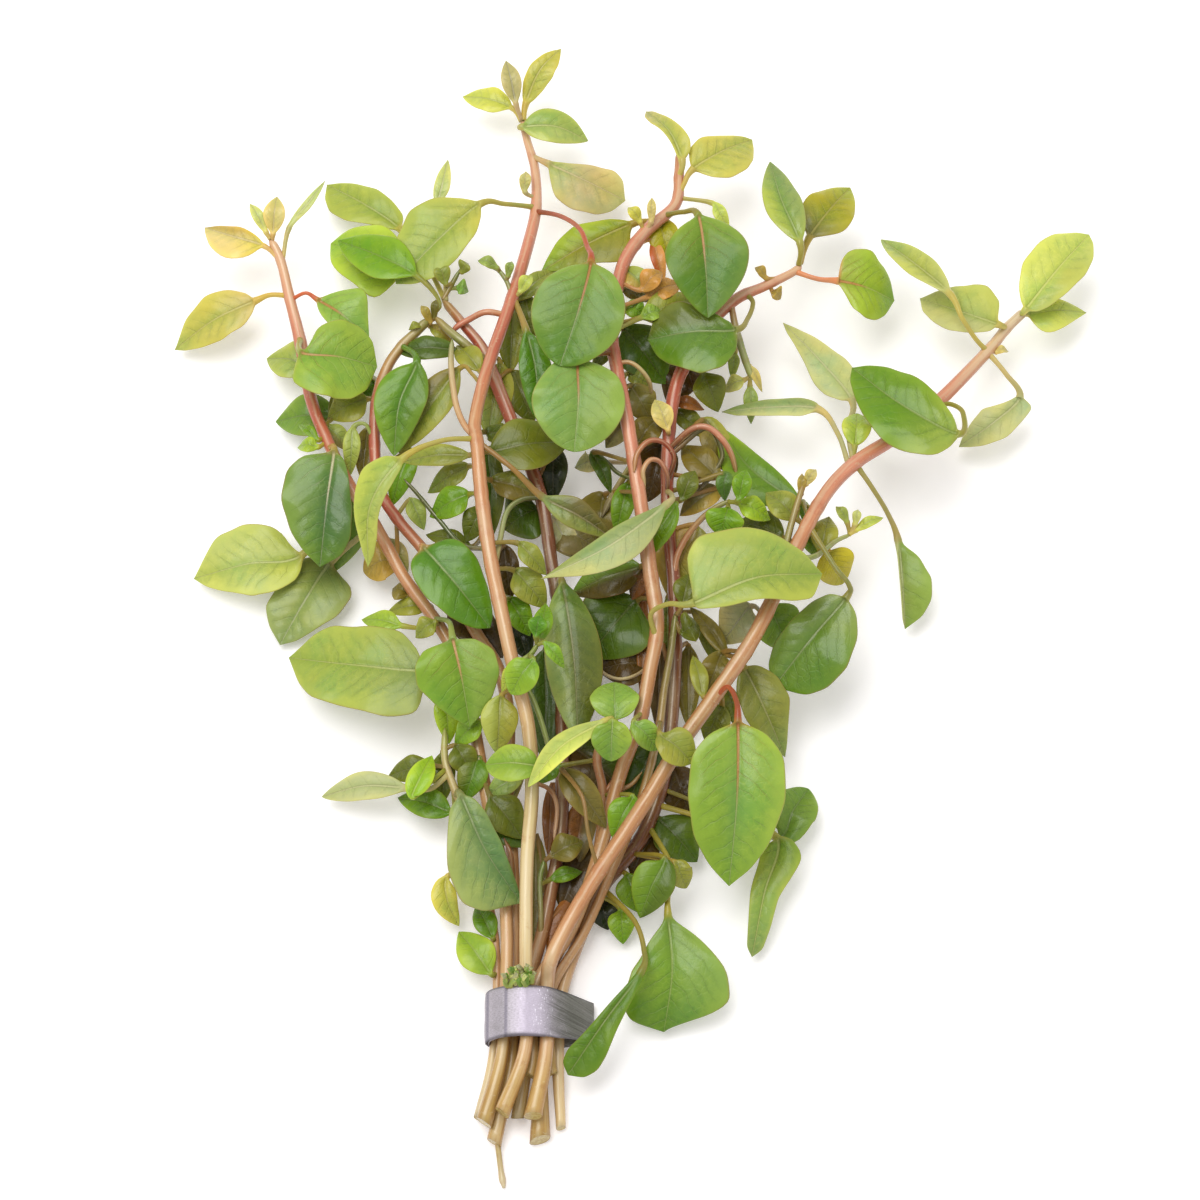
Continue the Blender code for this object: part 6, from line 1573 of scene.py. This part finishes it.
def stem_skin(name, gloss):
    """Skin of a stem, with how dull it is."""
    f = Finish(name, gloss, Coat_Weight=0.38, Coat_Roughness=0.16, Specular_IOR_Level=0.45)
    tint = f.note("tint", "Color")
    round_x, round_y, along = f.parts(f.note("skin"))
    joint, cut, _ = f.parts(f.note("grain"))
    streaks = f.noise(f.vector(round_x, round_y, f.times(along, STREAK_STRETCH)), 2.6, 4.0, 0.65)
    sides = f.noise(f.vector(round_x, round_y, f.times(along, SIDE_STRETCH)), 0.55, 2.0)
    dots = f.between(f.noise(f.place(), *DOTS), 0.66, 0.73)
    crest_highlight, shaded_flank = painted_highlight_and_flank(f, round_x, round_y)
    darker = f.stained(tint, (0.72, 0.55, 0.45))
    lighter = f.mix(0.55, tint, CREAM)
    pith = f.mix(f.between(f.noise(f.place(), *PITH), 0.4, 0.65), WHEAT, OLIVE_CUT)
    colour = f.coats(
        tint,
        (f.between(streaks, 0.45, 0.68, 0.0, 0.55), darker),
        (f.between(streaks, 0.30, 0.44, 0.5, 0.0), lighter),
        (f.between(sides, 0.48, 0.64, 0.0, 0.75), lighter),
        (f.between(sides, 0.32, 0.46, 0.40, 0.0), darker),
        (f.between(f.noise(f.place(), *BLOTS), 0.56, 0.72, 0.0, 0.6), darker),
        # Painted shade on the flanks, then a painted highlight along the top
        (f.between(shaded_flank, 0.50, 0.97, 0.0, 0.60), darker),
        (f.times(crest_highlight, 0.55), lighter),
        (f.times(dots, 0.30), CREAM),
        (f.times(joint, 0.25), f.mix(0.4, darker, BRICK)),
        (cut, pith),
    )
    height = f.plus(f.times(streaks, 0.8), f.times(dots, 0.2))
    rough = f.between(streaks, 0.35, 0.7, gloss - 0.06, gloss + 0.10)
    return f.finish(colour, rough, height, relief=0.00006, strength=0.35)


STEM_SKINS = {
    "stem_skin": stem_skin("salmon_stem_skin", 0.34),
    "low_stem_skin": stem_skin("tan_stem_skin", 0.38),
}
print("stem finishes", [finish.name for finish in STEM_SKINS.values()])

# %% [markdown]
# ## Stem meshes
# A tube of rings along each curve, with a swelling at each node and a slanted cut at the lower
# end. The tube is faintly square, as ludwigia stems are.

# %% Nodes and colours along a stem
STEM_SIDES, SHOOT_SIDES = 16, 10
JOINT_SWELL, JOINT_LENGTH, JOINT_LINE = 0.08, 0.9, 0.35
NODE_LENGTH = 3.0
FAR_AWAY = -99.0


def skin_colours(spec, share):
    """The stem's colour at shares of its length."""
    stops, colours = zip(*spec.skin)
    return np.stack([np.interp(share, stops, [colour[k] for colour in colours]) for k in range(3)], axis=1)


def joined_up(places):
    """Stalks that leave a stem within one node share one swelling."""
    nodes = [[FAR_AWAY]]
    for place in places:
        if place - nodes[-1][-1] < NODE_LENGTH:
            nodes[-1].append(place)
        else:
            nodes.append([place])
    return np.array([np.mean(node) for node in nodes])


print("sides of a stem:", STEM_SIDES)

# %% Rings of a stem
SQUARENESS, SQUARE_TWIST = 0.03, 0.05
BUD_THIN, BUD_LENGTH = 0.35, 2.0
CUT_SLANT, CUT_RINGS, CUT_DEPTH = 0.35, (0.86, 0.45), 0.06


def stem_shape(name):
    """Points, faces and colour notes of one stem or shoot."""
    spec, grown_stem = STEMS[name], grown[name]
    sides = SHOOT_SIDES if spec.parent else STEM_SIDES
    curve, along, thin = grown_stem["curve"], grown_stem["along"], grown_stem["thin"]
    near = np.abs(along[:, None] - joined_up(sorted(grown_stem["joints"]))[None, :]).min(axis=1)
    swell = np.exp(-((near / JOINT_LENGTH) ** 2))
    joint = np.exp(-((near / JOINT_LINE) ** 2))
    # A growing tip narrows to its bud
    bud = BUD_THIN + (1 - BUD_THIN) * soft_step(along, -0.2, BUD_LENGTH)
    radius = thin * (1 + JOINT_SWELL * swell) * bud
    after = np.vstack([curve[1:], 2 * curve[-1] - curve[-2]])
    before = np.vstack([2 * curve[0] - curve[1], curve[:-1]])
    ahead = unit(after - before)
    side = unit(np.cross(UP, ahead))
    normal = np.cross(ahead, side)
    turn = 2 * np.pi * (np.arange(sides) + 0.5) / sides
    ring = radius[:, None] * (1 + SQUARENESS * np.cos(4 * turn[None, :] + SQUARE_TWIST * along[:, None]))
    points = curve[:, None, :] + side[:, None, :] * (ring * np.cos(turn))[..., None] \
        + normal[:, None, :] * (ring * np.sin(turn))[..., None]
    cut = np.zeros(len(curve))
    if not spec.parent:
        slant = CUT_SLANT * radius[-1] * np.cos(turn + sum(map(ord, name)))
        points[-1] = points[-1] + ahead[-1] * slant[:, None]
        rim = points[-1]
        for share in CUT_RINGS:
            inner = rim.mean(axis=0) * (1 - share) + rim * share
            points = np.concatenate([points, inner[None] - ahead[-1] * CUT_DEPTH])
            cut, joint = np.append(cut, 1.0), np.append(joint, 0.0)
            radius, along = np.append(radius, radius[-1]), np.append(along, along[-1])
    points[..., 2] = np.maximum(points[..., 2], TABLE_CLEARANCE)
    shape = points.shape[:2]
    radius = radius[:, None]
    notes = {
        "tint": np.repeat(skin_colours(spec, along / along[-1]), sides, axis=0),
        "skin": notes_of(shape, radius * np.cos(turn), radius * np.sin(turn), along[:, None]),
        "grain": notes_of(shape, joint[:, None], cut[:, None], 0.0),
    }
    return points.reshape(-1, 3), tube_faces(*shape), notes


print("rings that close a cut:", len(CUT_RINGS))

# %% [markdown]
# ## Put the leaves and stems in the frame
# Each large leaf stands for the solid of the same name. A stem's solid also holds its shoots and
# its small leaves, so two pieces stand for it: the stem with its shoots, and its small leaves.

# %% Dress the large leaves
for on, rows in LEAVES.items():
    for spec in rows:
        shape = leaf_shape(spec, on, False)
        piece = make_piece(spec.name + "_blade", [shape], LEAF_SKINS[SLOT_OF[spec.name]])
        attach(piece, "root")
        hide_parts(spec.name)
    print("large leaves on", on, len(rows))

# %% Dress the stems and their small leaves
for name in MAIN_STEMS:
    parts = [name] + [shoot for shoot in SHOOTS if STEMS[shoot].parent == name]
    sprigs = [leaf_shape(spec, part, True) for part in parts for spec in SMALL_LEAVES.get(part, [])]
    node = "stem_" + name
    piece = make_piece(node + "_skin", [stem_shape(part) for part in parts], STEM_SKINS[SLOT_OF[node]])
    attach(piece, "root")
    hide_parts(node)
    if sprigs:
        small = make_piece("small_leaves_" + name, sprigs, young_skin)
        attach(small, "root")
        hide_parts(node)
    print(name, "shoots", len(parts) - 1, "small leaves", len(sprigs))

# %% [markdown]
# ## The strip of lead
# The holder is a strip of soft lead, wound once and a third round the stems and pressed flat at
# one side. It is a thin bar of lead that follows the outline and then passes inside itself, so
# the two layers and the dark gap between them show at the lower left end.

# %% The section of the bar, and its way round
LEAD_THICKNESS, RIM_ROUND, RIM_POWER = 0.46, 0.12, 8
BAR_ROWS, STRIP_STEPS = 15, 150
WINDING_STEP, TURNS = 0.56, 1.34
OUTLINE_SPAN_STEPS = 12
HALF_STRIP = STRIP_WIDTH / 2


def bar_section():
    """Across the strip and down through its thickness, with rounded rims."""
    rows = np.linspace(-HALF_STRIP, HALF_STRIP, BAR_ROWS)
    flat = 1 - (np.abs(rows) / HALF_STRIP) ** RIM_POWER
    outer = np.stack([rows, RIM_ROUND - RIM_ROUND * flat], axis=1)
    inner = np.stack([rows[::-1], LEAD_THICKNESS - RIM_ROUND + RIM_ROUND * flat], axis=1)
    return np.concatenate([outer, inner])


def way_round(turns):
    """Points of the outline at these turns, the direction inwards at each, and its whole length."""
    corners = np.roll(STRIP_OUTLINE, 1 - len(STRIP_OUTLINE), axis=0)[::-1]
    loop = smooth(np.vstack([corners, corners[:1]]), OUTLINE_SPAN_STEPS)[:-1]
    away = lengths_along(np.vstack([loop, loop[:1]]))

    def at(turn):
        where = (turn % 1.0) * away[-1]
        return np.stack([np.interp(where, away, np.append(line, line[0])) for line in loop.T], axis=1)

    spots = at(turns)
    ahead = unit(at(turns + 0.004) - at(turns - 0.004))
    inward = np.stack([ahead[:, 1], -ahead[:, 0]], axis=1)
    if ((spots.mean(axis=0) - spots) * inward).sum() < 0:
        inward = -inward
    return spots, inward, away[-1]


print("points in the bar's section:", len(bar_section()))

# %% Wind the strip
SET_BACK = 1.5
NARROWING = [from_photo(u, STRIP_MIDDLE_V, 8.0)[0] for u in (545, 598)]
NARROWED = 0.2


def strip_shape():
    """The wound strip as one closed skin, a little dented and narrower towards its right."""
    turns = np.linspace(0.0, TURNS, STRIP_STEPS)
    spots, inward, whole = way_round(turns)
    section = bar_section()
    wavy = 0.05 * np.sin(turns * 37.0) + 0.04 * np.sin(turns * 83.0 + 1.0)
    wander = 0.10 * np.sin(turns * 9.0 + 0.6)
    points = []
    for k, turn in enumerate(turns):
        dents = 0.04 * np.sin(section[:, 0] * 1.3 + turn * 21.0)
        deep = WINDING_STEP * turn + section[:, 1] + np.maximum(wavy[k] + dents, -0.02)
        flat = spots[k] + inward[k] * deep[:, None]
        narrower = 1 - NARROWED * soft_step(flat[:, 0], *NARROWING)
        y = strip_y + SET_BACK + section[:, 0] * narrower + wander[k] * 0.3
        points.append(np.stack([flat[:, 0], y, flat[:, 1]], axis=1))
    points = np.array(points)
    points[..., 2] = np.maximum(points[..., 2], TABLE_CLEARANCE)
    shape = points.shape[:2]
    outside = np.repeat([1.0, 0.0], BAR_ROWS)
    notes = {"skin": notes_of(shape, section[:, 0] / HALF_STRIP, turns[:, None] * whole, outside)}
    return points.reshape(-1, 3), tube_faces(*shape), notes


print("the strip narrows at x, mm", [round(x, 1) for x in NARROWING])

# %% [markdown]
# ## The finish of lead
# Cut lead is grey with a satin shine. This strip has fine brush lines along it, a painted highlight
# where it faces up, a dull right side with slanted streaks, two lines of painted shade where it
# was folded, and a few white scratches. Each is a coat of its own, laid where the strip shows it.

# %% Lead finish
LEAD, LEAD_HIGHLIGHT, DULL_LEAD = mixed(188, 181, 190), mixed(188, 178, 196), mixed(124, 124, 116)
STREAK_DARK, STREAK_LIGHT = mixed(88, 88, 80), mixed(190, 188, 190)
FOLD_SHADE, RIM_DARK = mixed(96, 92, 110), mixed(92, 90, 100)
CHALK, SCRATCH_WHITE = mixed(246, 244, 252), mixed(236, 234, 246)
SHINE_PLACES = (506, 530, 566)
SLANT_PER_Y = 0.15
SECOND_FOLD, CHALK_RIGHT = 0.0036, 0.0026


def brush_lines(f, across, along, slant, drawn, layer, grain):
    """Noise drawn out into lines: slant weighs across and along, drawn is the change on the way."""
    first = f.plus(f.times(across, slant[0]), f.times(along, slant[1]))
    return f.noise(f.vector(first, f.times(along, drawn), layer), *grain)


def brushed_lead(name):
    """Dull metal with its coats of streaks, painted shade at folds, a painted highlight and scratches."""
    f = Finish(name, 0.42, Metallic=0.85, Specular_IOR_Level=0.5)
    across, along, _ = f.parts(f.note("skin"))
    x, y, _ = f.parts(f.place())
    left, middle, right = (
        float(from_photo(u, STRIP_MIDDLE_V, 8.0)[0] + SHIFT[0]) * METRES_PER_MM for u in SHINE_PLACES
    )
    bent = float(right + SLANT_PER_Y * (strip_y + SHIFT[1]) * METRES_PER_MM)
    turned = f.plus(x, f.times(y, SLANT_PER_Y))
    brushed = brush_lines(f, across, along, (6.0, 0.0), 0.35, 0.0, (5.0, 5.0, 0.7))
    slanted = brush_lines(f, across, along, (2.0, 0.9), 0.05, 2.0, (4.0, 4.0, 0.65))
    streak = brush_lines(f, across, along, (3.2, 0.16), 0.02, 5.0, (3.0, 5.0, 0.7))
    marks = brush_lines(f, across, along, (2.4, 0.0), 1.1, 3.0, (2.6, 3.0, 0.8))
    patch = f.noise(f.place(), 160.0, 3.0)
    shine = f.times(f.between(x, left, middle), f.between(x, middle, right, 1.0, 0.0))
    right_part = f.between(turned, bent - 0.0050, bent - 0.0005)
    chalked = f.between(f.distance(x, middle + CHALK_RIGHT), 0.0008, 0.0028, 1.0, 0.0)
    scratch = f.between(slanted, 0.69, 0.74)
    colour = f.coats(
        LEAD,
        (f.between(brushed, 0.35, 0.70, 0.0, 0.5), DULL_LEAD),
        # A painted highlight on the middle of the strip
        (f.times(shine, 0.60), LEAD_HIGHLIGHT),
        (f.between(turned, bent - 0.0032, bent + 0.0016, 0.0, 0.85), DULL_LEAD),
        (f.times(f.between(patch, 0.55, 0.75), 0.4), DULL_LEAD),
        (f.times(right_part, f.between(streak, 0.46, 0.62, 0.0, 0.65)), STREAK_DARK),
        (f.times(right_part, f.between(streak, 0.30, 0.40, 0.5, 0.0)), STREAK_LIGHT),
        # Painted shade along two fold lines
        (f.between(f.distance(x, left), 0.0001, 0.0005, 0.5, 0.0), FOLD_SHADE),
        (f.between(f.distance(x, left - SECOND_FOLD), 0.0001, 0.0005, 0.6, 0.0), FOLD_SHADE),
        (f.times(chalked, f.between(marks, 0.60, 0.66)), CHALK),
        (f.between(f.sum("ABSOLUTE", across), 0.90, 0.99, 0.0, 0.55), RIM_DARK),
        (f.times(scratch, 0.7), SCRATCH_WHITE),
    )
    height = f.plus(brushed, f.times(scratch, -0.8))
    return f.finish(colour, f.between(brushed, 0.3, 0.7, 0.44, 0.62), height, relief=0.00012, strength=0.5)


strip = make_piece("lead_strip_winding", [strip_shape()], brushed_lead("brushed_lead"))
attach(strip, "root")
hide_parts("lead_strip")
print("strip points", len(strip.data.vertices))

# %% [markdown]
# ## Floor, light and camera
# The floor is a plain pale sheet that glows a little, as a light table does, so that shadows stay
# faint. The light is a wide soft box overhead and a bright, even room. The camera stands where
# the picture's pixels say: 68 degrees above the cut ends, 700 mm away.

# %% Floor
FLOOR_SIZE = 3.0
TABLE_GLOW = 0.17


def floor_paper(name):
    f = Finish(name, 0.75, Specular_IOR_Level=0.2, Emission_Color=(1.0, 0.985, 0.985, 1.0),
               Emission_Strength=TABLE_GLOW)
    colour = f.mix(f.between(f.noise(f.place(), 30.0), 0.3, 0.7), (0.93, 0.915, 0.92), (0.95, 0.935, 0.94))
    return f.finish(colour, None, f.noise(f.place(), 900.0, 2.0), relief=0.00003, strength=0.3)


corner = FLOOR_SIZE / 2
corners = [(-corner, -corner, 0), (corner, -corner, 0), (corner, corner, 0), (-corner, corner, 0)]
sheet = bpy.data.meshes.new("floor")
sheet.from_pydata(corners, [], [(0, 1, 2, 3)])
sheet.materials.append(floor_paper("pale_floor"))
floor = bpy.data.objects.new("floor", sheet)
bpy.context.scene.collection.objects.link(floor)
print("floor side, m", FLOOR_SIZE)

# %% Soft light
ROOM_LIGHT, ROOM_COLOUR = 0.78, (1.0, 0.985, 0.98, 1.0)
BOX_PLACE, BOX_SIZE, BOX_POWER = (-0.35, 0.25, 1.1), 0.9, 11.5
room = bpy.data.worlds.new("bright_room")
room.use_nodes = True
walls = room.node_tree.nodes["Background"]
walls.inputs["Color"].default_value = ROOM_COLOUR
walls.inputs["Strength"].default_value = ROOM_LIGHT
bpy.context.scene.world = room


def soft_box(name, place, size, power):
    """A square area light at a place, turned to the bunch."""
    light = bpy.data.lights.new(name, "AREA")
    light.size = size
    light.energy = power
    lamp = bpy.data.objects.new(name, light)
    lamp.location = place
    direction = unit(-np.array(place))
    lamp.rotation_euler = (math.acos(-direction[2]), 0.0, math.atan2(direction[0], -direction[1]))
    bpy.context.scene.collection.objects.link(lamp)


soft_box("overhead_softbox", BOX_PLACE, BOX_SIZE, BOX_POWER)
bpy.context.scene.view_settings.view_transform = "Standard"
print("room light", ROOM_LIGHT)

# %% Camera
SENSOR = 36.0
camera_lens = bpy.data.cameras.new("picture_camera")
camera_lens.sensor_width = SENSOR
camera_lens.lens = SENSOR / 2 / (PICTURE_SIZE / 2 * MM_PER_PIXEL / VIEW_DISTANCE)
camera = bpy.data.objects.new("picture_camera", camera_lens)
camera.location = (EYE + SHIFT) * METRES_PER_MM
camera.rotation_euler = (math.radians(90.0) - VIEW_ELEVATION, 0.0, 0.0)
bpy.context.scene.collection.objects.link(camera)
bpy.context.scene.camera = camera
print("lens, mm", round(camera_lens.lens, 2))

# %% [markdown] ## The end

# %% Bring the scene up to date
bpy.context.view_layer.update()
